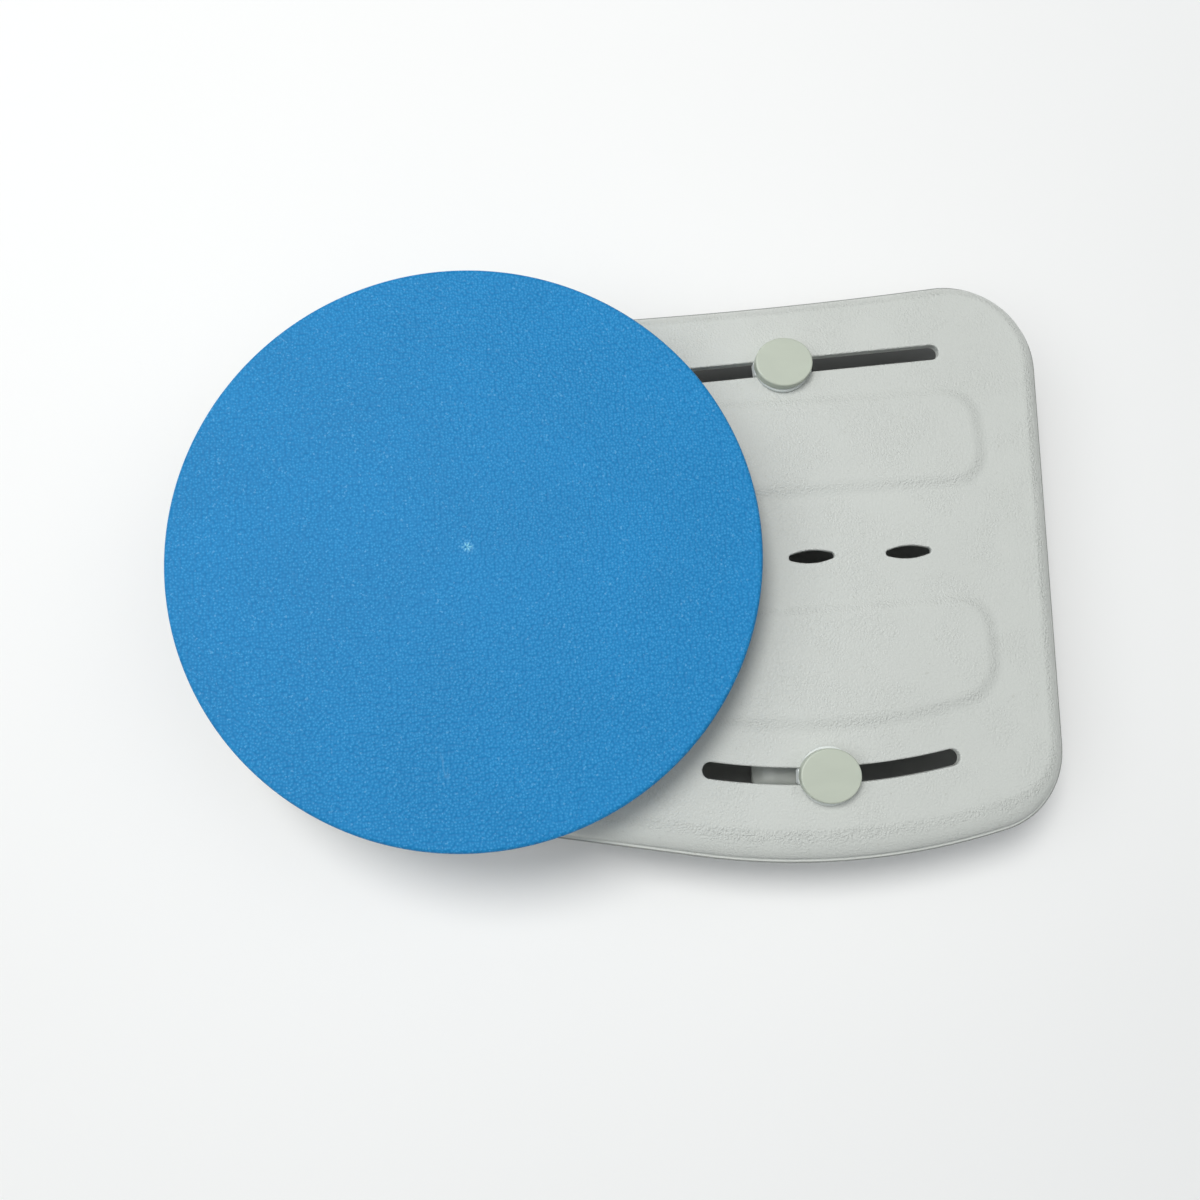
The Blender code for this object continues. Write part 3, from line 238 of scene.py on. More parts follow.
LEVER_TIP_SHARE = 0.86
LEVER_TOE = 0.0022
LEVER_TOE_NARROWING = 0.3
LEVER_TOE_PINCH = 0.16
LEVER_THICKNESS = 0.006
LEVER_FALL = 0.009
LEVER_SOFT = 0.0014
LEVER_STEPS = 24
LEVER_RING_POINTS = 40
LEVER_HUB_STEPS = 64
BOLT_SHOW = 0.0015

# How far the straight pieces that stand for an arc may lie off it, and how many make other rounds
ARC_SAGITTA = 0.00004
SOFT_STEPS = 4
BAND_STEPS = 36
BAND_END_STEPS = 18

# Smooth shading breaks at edges sharper than the first angle, and where a face borders on one many times as large
SHARP_ANGLE = math.radians(34)
BROAD_SHARE = 12
BROAD_ANGLE = math.radians(0.3)

# Edges sharper than this are rounded on the legs, grips and levers
EASED_ANGLE = math.radians(40)

# Each clamp: its place on its slot, the slot's heading or the centre of its arc, how far the slot reaches to
# either side, the side of the bath that it presses on, and how far its lever is turned from inwards
CLAMPS = {
    "back_right": {"rest": (0.2369, 0.1299), "heading": math.radians(2.35), "centre": None,
                   "low": -0.0870, "high": 0.1208, "side": 1, "lever": math.radians(90)},
    "front_right": {"rest": (0.2365, -0.1709), "heading": None, "centre": FRONT_CENTRE,
                    "low": -0.0878, "high": 0.0956, "side": 1, "lever": math.radians(-4)},
    "back_left": {"rest": (-0.0225, 0.1193), "heading": math.radians(2.35), "centre": None,
                  "low": -0.0825, "high": 0.0825, "side": -1, "lever": 0.0},
    "front_left": {"rest": (-0.0225, -0.1350), "heading": None, "centre": (-0.0225, 0.3270),
                   "low": -0.0735, "high": 0.0825, "side": -1, "lever": 0.0},
}

# Levels, from the floor up
BOARD_TOP = LEG_DROP + BOARD_HEIGHT
COLLAR_BOTTOM = BOARD_TOP - COLLAR_DEPTH
RIB_BOTTOM = BOARD_TOP - RIB_DEPTH
CENTRE_COLLAR_BOTTOM = BOARD_TOP - CENTRE_COLLAR_DEPTH
BASE_BOTTOM = BOARD_TOP + GAP
BASE_TOP = BASE_BOTTOM + BASE_HEIGHT
FLANGE_BOTTOM = BASE_TOP - TRACK_DEPTH + GAP + GLIDE_THICKNESS + GAP
FLANGE_TOP = FLANGE_BOTTOM + HUB_FLANGE
DISC_RIB_BOTTOM = FLANGE_TOP + GAP
LEG_PLATE_TOP = COLLAR_BOTTOM - GAP
LEG_PLATE_BOTTOM = LEG_PLATE_TOP - LEG_PLATE
LEVER_WASHER_TOP = LEG_PLATE_BOTTOM - GAP
LEVER_TOP = LEVER_WASHER_TOP - LEVER_WASHER - GAP
LEVER_BOTTOM = LEVER_TOP - LEVER_HUB_HEIGHT
RIB_TOP = BOARD_TOP - 0.2 * BOARD_WALL
PAD_HOLLOW_TOP = BOARD_TOP - 0.4 * BOARD_WALL
CAP_BOTTOM = BOARD_TOP + GAP + GUIDE_FLANGE + GAP

# The camera that took the picture: its turn about the board, its tilts, its lens and its place
CAMERA_TURN = math.radians(-4.5)
CAMERA_PITCH = math.radians(-9.28)
CAMERA_ROLL = math.radians(2.26)
CAMERA_LENS = 28.25
CAMERA_SENSOR = 36.0
CAMERA_PLACE = (-0.064016, -0.126157, 0.73543)
CAMERA_NEAR = 0.01

# The light: a window-like lamp, and a sky that glows from halfway up and is seen evenly pale
LAMP_PLACE = (-0.57, 0.69)
LAMP_AIM = (0.0, 0.0, 0.05)
LAMP_SIZE = 1.0
LAMP_POWER = 32.0
LAMP_COLOUR = (1.0, 0.99, 0.975)
SKY_COLOUR = (0.95, 0.98, 1.0, 1.0)
SKY_GLOW = 1.40
SKY_SEEN = 0.82

# The floor: where a painted shade darkens it under the board, and where its own faint painted glow sets in
SHADE_CENTRE = (0.115, 0.009)
SHADE_FULL = (0.165, 0.175)
SHADE_END = 0.195
SHADE_TONE = 0.28
FAR_START, FAR_END = 0.45, 3.2
FAR_LIGHT = (0.29, 0.31, 0.32, 1.0)
NO_LIGHT = (0.0, 0.0, 0.0, 1.0)


def linear(red, green, blue):
    """A colour given as screen values from 0 to 255, as linear light."""
    shares = (value / 255 for value in (red, green, blue))
    return tuple(share / 12.92 if share <= 0.04045 else ((share + 0.055) / 1.055) ** 2.4 for share in shares)


def opaque(red, green, blue):
    """A colour given as screen values, as a shader takes it."""
    return (*linear(red, green, blue), 1.0)


class SwivelSeatSizes(bpy.types.PropertyGroup):
    """Sizes of the finishing that a maker would change."""

    seat_edge: bpy.props.FloatProperty(
        name="Seat edge", description="Radius that rounds the upper edge of the round seat",
        default=0.003, min=0.001, max=0.0039, subtype="DISTANCE", unit="LENGTH")
    slot_rim: bpy.props.FloatProperty(
        name="Slot rim", description="Radius that rounds the upper rim of the slots and the drains",
        default=0.0011, min=0.0003, max=0.002, subtype="DISTANCE", unit="LENGTH")
    button_edge: bpy.props.FloatProperty(
        name="Button edge", description="Radius that rounds the upper edge of the oval buttons",
        default=0.0013, min=0.0005, max=0.003, subtype="DISTANCE", unit="LENGTH")
    part_edge: bpy.props.FloatProperty(
        name="Part edge", description="Radius that softens the edges of the small moulded pieces",
        default=0.0006, min=0.0002, max=0.001, subtype="DISTANCE", unit="LENGTH")
    seat_grain: bpy.props.FloatProperty(
        name="Seat grain", description="Width of one bump of the round seat's moulded grain",
        default=0.0020, min=0.0005, max=0.005, subtype="DISTANCE", unit="LENGTH")
    board_grain: bpy.props.FloatProperty(
        name="Board grain", description="Width of one bump of the board's moulded grain",
        default=0.0014, min=0.0005, max=0.005, subtype="DISTANCE", unit="LENGTH")
    floor_radius: bpy.props.FloatProperty(
        name="Floor radius", description="Radius of the floor that the seat stands on",
        default=9.0, min=1.0, max=50.0, subtype="DISTANCE", unit="LENGTH")
    light_height: bpy.props.FloatProperty(
        name="Light height", description="Height of the main light above the floor",
        default=2.4, min=0.5, max=5.0, subtype="DISTANCE", unit="LENGTH")


class SwivelSeatColours(bpy.types.PropertyGroup):
    """Colours of the plastics, the rubber and the floor."""

    seat: bpy.props.FloatVectorProperty(
        name="Round seat", description="Colour of the round seat's plastic",
        default=linear(34, 134, 195), min=0.0, max=1.0, size=3, subtype="COLOR")
    board: bpy.props.FloatVectorProperty(
        name="Board", description="Colour of the moulded board's plastic",
        default=linear(207, 210, 205), min=0.0, max=1.0, size=3, subtype="COLOR")
    button: bpy.props.FloatVectorProperty(
        name="Buttons", description="Colour of the four oval buttons",
        default=linear(193, 200, 185), min=0.0, max=1.0, size=3, subtype="COLOR")
    fitting: bpy.props.FloatVectorProperty(
        name="Fittings", description="Colour of the guides, legs and hub",
        default=linear(236, 241, 238), min=0.0, max=1.0, size=3, subtype="COLOR")
    # The levers are the fittings' white plastic, painted a darker grey as shade for where they sit under the board
    lever: bpy.props.FloatVectorProperty(
        name="Levers", description="Colour of the four hand levers",
        default=linear(164, 168, 163), min=0.0, max=1.0, size=3, subtype="COLOR")
    glide: bpy.props.FloatVectorProperty(
        name="Glide ring", description="Colour of the low-friction ring and bush",
        default=linear(235, 234, 226), min=0.0, max=1.0, size=3, subtype="COLOR")
    rubber: bpy.props.FloatVectorProperty(
        name="Grips", description="Colour of the rubber grips on the legs",
        default=linear(66, 68, 70), min=0.0, max=1.0, size=3, subtype="COLOR")
    floor: bpy.props.FloatVectorProperty(
        name="Floor", description="Colour of the floor",
        default=linear(251, 251, 250), min=0.0, max=1.0, size=3, subtype="COLOR")


class Value:
    """A shader value that Python's arithmetic turns into Math nodes."""

    def __init__(self, shading, socket):
        self.shading = shading
        self.socket = socket

    def calculated(self, operation, *values):
        return self.shading.node("ShaderNodeMath", {"operation": operation}, values)

    def __add__(self, other):
        return self.calculated("ADD", self, other)

    def __radd__(self, other):
        return self.calculated("ADD", other, self)

    def __sub__(self, other):
        return self.calculated("SUBTRACT", self, other)

    def __rsub__(self, other):
        return self.calculated("SUBTRACT", other, self)

    def __mul__(self, other):
        return self.calculated("MULTIPLY", self, other)

    def __rmul__(self, other):
        return self.calculated("MULTIPLY", other, self)

    def __pow__(self, other):
        return self.calculated("POWER", self, other)

    def eased(self, low, high):
        """0 below one value and 1 above another, with a soft passage between."""
        return self.shading.node("ShaderNodeMapRange", {"interpolation_type": "SMOOTHSTEP"},
                                 {"Value": self, "From Min": low, "From Max": high})


class Shading:
    """A tree of shader nodes under construction."""

    def __init__(self, owner):
        owner.use_nodes = True
        self.tree = owner.node_tree

    def feed(self, socket, value):
        if isinstance(value, Value):
            self.tree.links.new(value.socket, socket)
        else:
            socket.default_value = value

    def node(self, kind, settings=None, sockets=(), output=0):
        """Any node, from its type, its settings, and the values or links of its sockets."""
        made = self.tree.nodes.new(kind)
        for name, setting in (settings or {}).items():
            setattr(made, name, setting)
        for key, value in sockets.items() if isinstance(sockets, dict) else enumerate(sockets):
            self.feed(made.inputs[key], value)
        return Value(self, made.outputs[output])

    def place(self, centre=(0.0, 0.0, 0.0), stretch=(1.0, 1.0, 1.0)):
        """The piece's own coordinates, seen from a centre and stretched."""
        own = self.node("ShaderNodeTexCoord", output=3)
        return self.node("ShaderNodeMapping", {"vector_type": "TEXTURE"}, {
            "Vector": own, "Location": centre, "Scale": stretch})

    def part(self, place, axis):
        """One coordinate of a place."""
        return self.node("ShaderNodeSeparateXYZ", {}, {"Vector": place}, output="XYZ".index(axis))


class Finish(Shading):
    """A material under construction: a Principled shader and the nodes that feed it."""

    def __init__(self, name, colour, roughness, metallic=0.0, specular=0.5):
        self.material = bpy.data.materials.new(name)
        super().__init__(self.material)
        self.shader = self.tree.nodes["Principled BSDF"]
        self.colour = (*colour, 1.0)
        self.feed(self.shader.inputs["Base Color"], self.colour)
        self.feed(self.shader.inputs["Roughness"], roughness)
        self.feed(self.shader.inputs["Metallic"], metallic)
        self.feed(self.shader.inputs["Specular IOR Level"], specular)

    def noise(self, place, width, detail=2.0, rough=0.5):
        """Soft noise between 0 and 1, whose blotches have a width."""
        return self.node("ShaderNodeTexNoise", {}, {
            "Vector": place, "Scale": 1 / width, "Detail": detail, "Roughness": rough})

    def bumps(self, place, width, softness=0.8, disorder=1.0):
        """Rounded bumps side by side, each about one width across, 1 at their tops."""
        gap = self.node("ShaderNodeTexVoronoi", {"feature": "SMOOTH_F1"}, {
            "Vector": place, "Scale": 1 / width, "Smoothness": softness, "Randomness": disorder})
        return 1.0 - gap

    def shade(self, factor, first, second):
        """One colour passing into another."""
        return self.node("ShaderNodeMix", {"data_type": "RGBA"}, {0: factor, 6: first, 7: second}, output=2)

    def tone(self, gain):
        """The finish's own colour, made lighter or darker by a fixed gain."""
        return (*(min(1.0, channel * gain) for channel in self.colour[:3]), 1.0)

    def paint(self, colour=None, roughness=None, height=None, depth=0.0001, strength=1.0):
        """Feeds the shader: a colour, a roughness, and a height that raises the surface."""
        if colour is not None:
            self.feed(self.shader.inputs["Base Color"], colour)
        if roughness is not None:
            self.feed(self.shader.inputs["Roughness"], roughness)
        if height is not None:
            self.feed(self.shader.inputs["Normal"], self.node("ShaderNodeBump", {}, {
                "Strength": strength, "Distance": depth, "Height": height}))
        return self.material


def kept(name, make):
    """A material by name, made only once."""
    return bpy.data.materials.get(name) or make(name)


def colours():
    return bpy.context.scene.swivel_seat_colours


def sizes():
    return bpy.context.scene.swivel_seat_sizes


def blue_plastic():
    """The round seat's plastic: pebbled grain with painted highlight on its tops and painted shade in its hollows,
    painted glints, a gate mark at the centre and a faint scuff.
    """
    def make(name):
        finish = Finish(name, colours().seat, 0.46, specular=0.14)
        place = finish.place(centre=(SWIVEL.x, SWIVEL.y, SEAT_TOP - 0.37 * sizes().seat_grain))
        grain = finish.bumps(place, sizes().seat_grain, softness=0.2, disorder=0.75)
        fine = finish.noise(place, sizes().seat_grain * 0.7, 1.0, 0.5)
        cloud = finish.noise(place, 0.07, 2.0, 0.5)
        pebble = grain * 0.85 + fine * 0.15
        colour = finish.shade(cloud.eased(0.30, 0.72), finish.tone(0.97), finish.tone(1.03))
        # Painted highlight on the grain's tops and painted shade in its hollows
        colour = finish.shade(pebble.eased(0.58, 0.80) * 0.42, colour, opaque(74, 172, 230))
        colour = finish.shade((1.0 - pebble.eased(0.28, 0.54)) * 0.36, colour, opaque(12, 104, 166))
        # Painted glints: sparse light-blue specks of painted highlight on the grain
        sparse = finish.noise(place, 0.0022, 1.0, 0.5)
        painted_glints = sparse.eased(0.62, 0.70) * fine.eased(0.50, 0.62)
        colour = finish.shade(painted_glints * 0.40, colour, opaque(118, 186, 232))
        x, y = finish.part(place, "X"), finish.part(place, "Y")
        reach = (x * x + y * y) ** 0.5
        angle = y.calculated("ARCTAN2", y, x)
        points = (angle * 6.0).calculated("COSINE", angle * 6.0)
        star = 1.0 - (reach - points * 0.0014).eased(0.0001, 0.0031)
        halo = 1.0 - reach.eased(0.002, 0.007)
        colour = finish.shade(star * fine.eased(0.36, 0.54) * 0.85, colour, opaque(150, 232, 255))
        colour = finish.shade(halo * pebble.eased(0.50, 0.62) * 0.30, colour, opaque(120, 190, 235))
        scuff_x, scuff_y = x + 0.0235, y + 0.1420
        strokes = finish.noise(finish.place(centre=SWIVEL, stretch=(0.0022, 0.011, 1.0)), 1.0, 3.0, 0.7)
        rub = (1.0 - (scuff_x * scuff_x * 5200.0 + scuff_y * scuff_y * 340.0).eased(0.02, 0.20))
        colour = finish.shade(rub * strokes.eased(0.48, 0.70) * 0.16, colour, opaque(150, 200, 232))
        roughness = 0.42 + cloud * 0.08 + rub * 0.08
        height = pebble + star * 0.5
        return finish.paint(colour, roughness, height, depth=0.0005, strength=1.0)
    return kept("seat_blue_plastic", make)


def pale_plastic():
    """The board's plastic: fine leather grain over a soft satin surface, with painted highlight on the grain's tops
    and painted shade in its hollows, stronger on the shoulder's brow and the pads' slopes, and a painted shade
    along the lower rounding of its outer ledge.
    """
    def make(name):
        finish = Finish(name, colours().board, 0.36, specular=0.35)
        place = finish.place()
        grain = finish.bumps(place, sizes().board_grain)
        fine = finish.noise(place, sizes().board_grain * 0.6, 2.0, 0.6)
        cloud = finish.noise(place, 0.09, 3.0, 0.5)
        patches = finish.noise(place, 0.035, 2.0, 0.5).eased(0.38, 0.62)
        pebble = grain * 0.6 + fine * 0.4
        colour = finish.shade(cloud.eased(0.32, 0.70), finish.tone(0.985), finish.tone(1.01))
        level = finish.part(place, "Z")
        depth, rise = BOARD_TOP - level, level - BOARD_TOP
        brow = depth.eased(0.00002, 0.0003) * (1.0 - depth.eased(0.0006, 0.0022))
        slope = rise.eased(0.0001, 0.0009) * (1.0 - rise.eased(0.0013, 0.0021))
        coarse = brow + slope * 0.5
        # Painted highlight on the grain's tops and painted shade in its hollows, stronger on the shoulder's brow
        # and the pads' slopes
        painted_grain_shading = 0.22 + coarse * 0.12
        colour = finish.shade(pebble.eased(0.50, 0.70) * painted_grain_shading, colour, finish.tone(1.06))
        colour = finish.shade((1.0 - pebble.eased(0.32, 0.50)) * painted_grain_shading, colour, finish.tone(0.93))
        dust = finish.noise(place, 0.0042, 1.0, 0.4).eased(0.755, 0.79)
        colour = finish.shade(dust * 0.28, colour, opaque(176, 176, 166))
        # Painted shade: a dark band on the lower rounding of the ledge along the board's outer edge
        painted_ledge_shade = depth.eased(SHOULDER_DROP + 0.00001, SHOULDER_DROP + 0.00005) * (1.0 - depth.eased(0.0122, 0.0130))
        colour = finish.shade(painted_ledge_shade * 0.75, colour, finish.tone(0.30))
        roughness = 0.30 + cloud * 0.10 + fine * 0.08
        relief = 0.45 + patches * 0.50 + coarse * 0.90
        return finish.paint(colour, roughness, (pebble - 0.53) * relief, depth=0.0008, strength=1.0)
    return kept(name="board_pale_plastic", make=make)


def moulded(name, colour, grain, gloss, depth=0.00005):
    """Plain moulded plastic: a fine skin with faint flow marks and handling."""
    def make(label):
        finish = Finish(label, colour, gloss, specular=0.45)
        place = finish.place()
        skin = finish.noise(place, grain, 3.0, 0.6)
        flow = finish.noise(finish.place(stretch=(1.0, 0.35, 1.0)), 0.03, 3.0, 0.55)
        touch = finish.noise(place, 0.011, 4.0, 0.62)
        tint = finish.shade(flow.eased(0.30, 0.70), finish.tone(0.975), finish.tone(1.015))
        tint = finish.shade(touch.eased(0.62, 0.80) * 0.22, tint, finish.tone(0.90))
        return finish.paint(tint, gloss - 0.05 + touch * 0.12, skin, depth=depth, strength=0.5)
    return kept(name, make)


def sage_plastic():
    return moulded("button_sage_plastic", colours().button, 0.0009, 0.34)


def white_plastic():
    return moulded("fitting_white_plastic", colours().fitting, 0.0011, 0.38, depth=0.00008)


# The fittings' white plastic, darkened to grey as painted shade for the levers under the board
def lever_shaded_plastic():
    return moulded("lever_grey_plastic", colours().lever, 0.0011, 0.42, depth=0.00008)


def low_friction_plastic():
    return moulded("glide_low_friction_plastic", colours().glide, 0.0016, 0.30)


def grey_rubber():
    """The grips' rubber: matt, dusty on the raised bars, with a fine open skin."""
    def make(name):
        finish = Finish(name, colours().rubber, 0.82, specular=0.3)
        place = finish.place()
        skin = finish.noise(place, 0.0007, 4.0, 0.7)
        dust = finish.noise(place, 0.006, 4.0, 0.6)
        colour = finish.shade(dust.eased(0.42, 0.72) * 0.55, finish.tone(0.86), finish.tone(1.5))
        return finish.paint(colour, 0.74 + dust * 0.18, skin, depth=0.00012, strength=0.7)
    return kept("grip_grey_rubber", make)


def metal(name, colour, gloss):
    """Turned metal: fine tool rings and faint stains."""
    def make(label):
        finish = Finish(label, colour, gloss, 1.0)
        place = finish.place()
        rings = finish.noise(finish.place(stretch=(1.0, 1.0, 0.06)), 0.0012, 3.0, 0.6)
        stain = finish.noise(place, 0.004, 4.0, 0.6)
        tint = finish.shade(stain.eased(0.35, 0.75), finish.tone(1.0), finish.tone(0.82))
        return finish.paint(tint, gloss - 0.06 + stain * 0.2, rings, depth=0.00003, strength=0.6)
    return kept(name, make)


def stainless_steel():
    return metal("fastener_stainless_steel", linear(190, 192, 195), 0.28)


def brass():
    return metal("insert_brass", linear(200, 165, 90), 0.33)


def floor_finish():
    """The floor: pale and matt, with a faint painted glow far off that keeps it as pale there as near the lamp, and
    a painted shade under the board that shows deep through the slots.
    """
    def make(name):
        finish = Finish(name, colours().floor, 0.7, specular=0.15)
        place = finish.place()
        cloud = finish.noise(place, 0.8, 2.0, 0.5)
        colour = finish.shade(cloud.eased(0.3, 0.7), finish.tone(0.985), finish.tone(1.0))
        x, y = finish.part(place, "X"), finish.part(place, "Y")
        # Painted shade: the floor is darkened under the board, where it shows through the slots and drains
        aside, ahead = x - SHADE_CENTRE[0], y - SHADE_CENTRE[1]
        shade = ((1.0 - (aside * aside).eased(SHADE_FULL[0]**2, SHADE_END**2))
                 * (1.0 - (ahead * ahead).eased(SHADE_FULL[1]**2, SHADE_END**2)))
        colour = finish.shade(shade, colour, finish.tone(SHADE_TONE))
        # Painted glow: the floor gives off its own faint light far from the board, so it stays pale away from the
        # lamp
        far = ((x * x + y * y) ** 0.5).eased(FAR_START, FAR_END)
        finish.feed(finish.shader.inputs["Emission Color"], finish.shade(far, NO_LIGHT, FAR_LIGHT))
        finish.feed(finish.shader.inputs["Emission Strength"], 1.0)
        return finish.paint(colour, 0.66 + cloud * 0.08)
    return kept("pale_floor", make)


def as_mesh(bm, name="shape"):
    """The mesh of a bmesh, with its doubles merged and its faces pointing out."""
    bmesh.ops.remove_doubles(bm, verts=bm.verts, dist=0.000001)
    bmesh.ops.recalc_face_normals(bm, faces=bm.faces)
    mesh = bpy.data.meshes.new(name)
    bm.to_mesh(mesh)
    bm.free()
    return mesh


def softened(profile, radius, closed=True):
    """A profile whose corners are rounded, with a point just before and just after each round."""
    count = len(profile)
    soft = []
    for i, corner in enumerate(profile):
        point = Vector(corner)
        if not closed and i in (0, count - 1):
            soft.append(point)
            continue
        back, ahead = Vector(profile[i - 1]) - point, Vector(profile[(i + 1) % count]) - point
        reach = min(radius, 0.38 * back.length, 0.38 * ahead.length)
        start, end = point + back.normalized() * reach, point + ahead.normalized() * reach
        soft.append(start + back.normalized() * reach * 0.25)
        for step in range(SOFT_STEPS + 1):
            share = step / SOFT_STEPS
            soft.append(start.lerp(point, share).lerp(point.lerp(end, share), share))
        soft.append(end + ahead.normalized() * reach * 0.25)
    return soft


def spun(profile, steps, closed=True, place=(0.0, 0.0)):
    """A shape turned about Z from points (radius, level), set down at a place."""
    bm = bmesh.new()
    points = [bm.verts.new((radius, 0.0, level)) for radius, level in profile]
    edges = [bm.edges.new(pair) for pair in zip(points, points[1:])]
    if closed:
        edges.append(bm.edges.new((points[-1], points[0])))
    bmesh.ops.spin(bm, geom=points + edges, cent=(0.0, 0.0, 0.0), axis=(0.0, 0.0, 1.0), dvec=(0.0, 0.0, 0.0),
                   angle=2 * math.pi, steps=steps, use_merge=True, use_duplicate=False)
    bmesh.ops.translate(bm, verts=bm.verts, vec=(*place, 0.0))
    return as_mesh(bm)


def prism(outline, low, high, edge=0.0, segments=3, edge_below=True):
    """A flat outline raised from one level to another, with its upper and lower edges rounded."""
    bm = bmesh.new()
    floor = bm.faces.new([bm.verts.new((*point, low)) for point in outline])
    raised = bmesh.ops.extrude_face_region(bm, geom=[floor])["geom"]
    corners = [item for item in raised if isinstance(item, bmesh.types.BMVert)]
    bmesh.ops.translate(bm, verts=corners, vec=(0.0, 0.0, high - low))
    bmesh.ops.recalc_face_normals(bm, faces=bm.faces)
    if edge:
        levels = (low, high) if edge_below else (high,)
        rims = [e for e in bm.edges if any(all(abs(v.co.z - level) < 1e-7 for v in e.verts) for level in levels)]
        bmesh.ops.bevel(bm, geom=rims, offset=edge, offset_type="OFFSET", segments=segments, profile=0.5,
                        affect="EDGES", clamp_overlap=True, material=-1)
    return as_mesh(bm)


def block(low, high, edge=0.0):
    """A box between two corners, with its edges rounded."""
    bm = bmesh.new()
    bmesh.ops.create_cube(bm, size=1.0)
    bmesh.ops.scale(bm, verts=bm.verts, vec=Vector(high) - Vector(low))
    bmesh.ops.translate(bm, verts=bm.verts, vec=(Vector(low) + Vector(high)) / 2)
    if edge:
        bmesh.ops.bevel(bm, geom=bm.edges[:], offset=edge, offset_type="OFFSET", segments=2, profile=0.5,
                        affect="EDGES", clamp_overlap=True, material=-1)
    return as_mesh(bm)


def wrapped(rings, flat_sides=False):
    """A skin wrapped through rings of equally many points, closed over the first ring and the last."""
    across, along = len(rings[0]), len(rings) - 1
    bm = bmesh.new()
    bmesh.ops.create_grid(bm, x_segments=across, y_segments=along, size=1.0)
    bm.verts.ensure_lookup_table()
    for i, vertex in enumerate(bm.verts):
        row, column = divmod(i, across + 1)
        vertex.co = rings[row][column % across]
    bmesh.ops.remove_doubles(bm, verts=bm.verts, dist=0.0000001)
    if flat_sides:
        bmesh.ops.triangulate(bm, faces=bm.faces)
    bmesh.ops.holes_fill(bm, edges=[edge for edge in bm.edges if edge.is_boundary], sides=0)
    return as_mesh(bm)


def joined(*meshes):
    """Several meshes as one, each keeping its own skin."""
    bm = bmesh.new()
    for mesh in meshes:
        bm.from_mesh(mesh)
        bpy.data.meshes.remove(mesh)
    result = bpy.data.meshes.new("shape")
    bm.to_mesh(result)
    bm.free()
    return result


def moved(mesh, matrix):
    """A mesh after a turn or a move."""
    mesh.transform(matrix)
    return mesh


def turned(mesh, angle):
    return moved(mesh, Matrix.Rotation(angle, 4, "Z"))


def evaluated(obj):
    """The mesh of an object and its modifiers, after which the object is gone."""
    bpy.context.view_layer.update()
    mesh = bpy.data.meshes.new_from_object(obj.evaluated_get(bpy.context.evaluated_depsgraph_get()))
    base = obj.data
    bpy.data.objects.remove(obj)
    bpy.data.meshes.remove(base)
    return mesh


def carved(mesh, operation, others):
    """A mesh joined with others, cut by them, or cut back to them."""
    scene = bpy.context.scene.collection
    group = bpy.data.collections.new("operands")
    scene.children.link(group)
    helpers = [bpy.data.objects.new("operand", other) for other in others]
    for helper in helpers:
        group.objects.link(helper)
    body = bpy.data.objects.new("carved", mesh)
    scene.objects.link(body)
    modifier = body.modifiers.new("carve", "BOOLEAN")
    modifier.operation = operation
    modifier.operand_type = "COLLECTION"
    modifier.collection = group
    modifier.solver = "EXACT"
    result = evaluated(body)
    for helper in helpers:
        spent = helper.data
        bpy.data.objects.remove(helper)
        bpy.data.meshes.remove(spent)
    bpy.data.collections.remove(group)
    return result


def eased_edges(mesh, width, segments=3):
    """A mesh whose sharp edges are rounded."""
    obj = bpy.data.objects.new("eased", mesh)
    bpy.context.scene.collection.objects.link(obj)
    bevel = obj.modifiers.new("edges", "BEVEL")
    bevel.width = width
    bevel.segments = segments
    bevel.limit_method = "ANGLE"
    bevel.angle_limit = EASED_ANGLE
    bevel.use_clamp_overlap = True
    return evaluated(obj)


def settle_shading(mesh):
    """Smooth shading, with a break at real edges and where a broad flat face meets a narrow round."""
    mesh.shade_smooth()
    mesh.set_sharp_from_angle(angle=SHARP_ANGLE)
    bm = bmesh.new()
    bm.from_mesh(mesh)
    for edge in bm.edges:
        if len(edge.link_faces) != 2:
            continue
        small, large = sorted(face.calc_area() for face in edge.link_faces)
        if large > BROAD_SHARE * small and abs(edge.calc_face_angle(0.0)) > BROAD_ANGLE:
            edge.smooth = False
    bm.to_mesh(mesh)
    bm.free()


def set_out(name, mesh, finish, body, nodes=()):
    """Puts a finished mesh, drawn in the board's axes, into the model as a piece of one body."""
    old = bpy.data.objects.get(name)
    if old:
        bpy.data.objects.remove(old)
    mesh.name = name
    mesh.transform(Matrix.Translation((SWIVEL.x, SWIVEL.y, 0.0)))
    mesh.materials.clear()
    mesh.materials.append(finish)
    settle_shading(mesh)
    piece = bpy.data.objects.new(name, mesh)
    bpy.context.scene.collection.objects.link(piece)
    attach(piece, body)
    if nodes:
        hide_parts(*nodes)
    return piece


def coat(nodes, finish):
    """Gives CAD nodes that stay in view their finish."""
    for node in nodes:
        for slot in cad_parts[node].material_slots:
            slot.material = finish


def arc_steps(angle, radius):
    """How many straight pieces stand for an arc."""
    return max(3, math.ceil(abs(angle) / (2 * math.acos(1 - ARC_SAGITTA / radius))))


def rounded(corners):
    """The outline through corners (x, y, radius), anticlockwise: a list of (point, outward normal)."""
    outline = []
    for i, (x, y, radius) in enumerate(corners):
        corner = Vector((x, y))
        ahead = (Vector(corners[(i + 1) % len(corners)][:2]) - corner).normalized()
        behind = (corner - Vector(corners[i - 1][:2])).normalized()
        turn = math.atan2(behind.x * ahead.y - behind.y * ahead.x, behind.dot(ahead))
        start = corner - behind * radius * math.tan(abs(turn) / 2)
        normal = Vector((behind.y, -behind.x))
        bend = math.copysign(1.0, turn)
        centre = start - normal * radius * bend
        steps = arc_steps(turn, radius)
        for step in range(steps + 1):
            spoke = Matrix.Rotation(turn * step / steps, 2) @ normal
            outline.append((centre + spoke * radius * bend, spoke))
    return outline


def grown(outline, distance):
    """The points of a rounded outline moved outwards by a distance."""
    return [point + normal * distance for point, normal in outline]


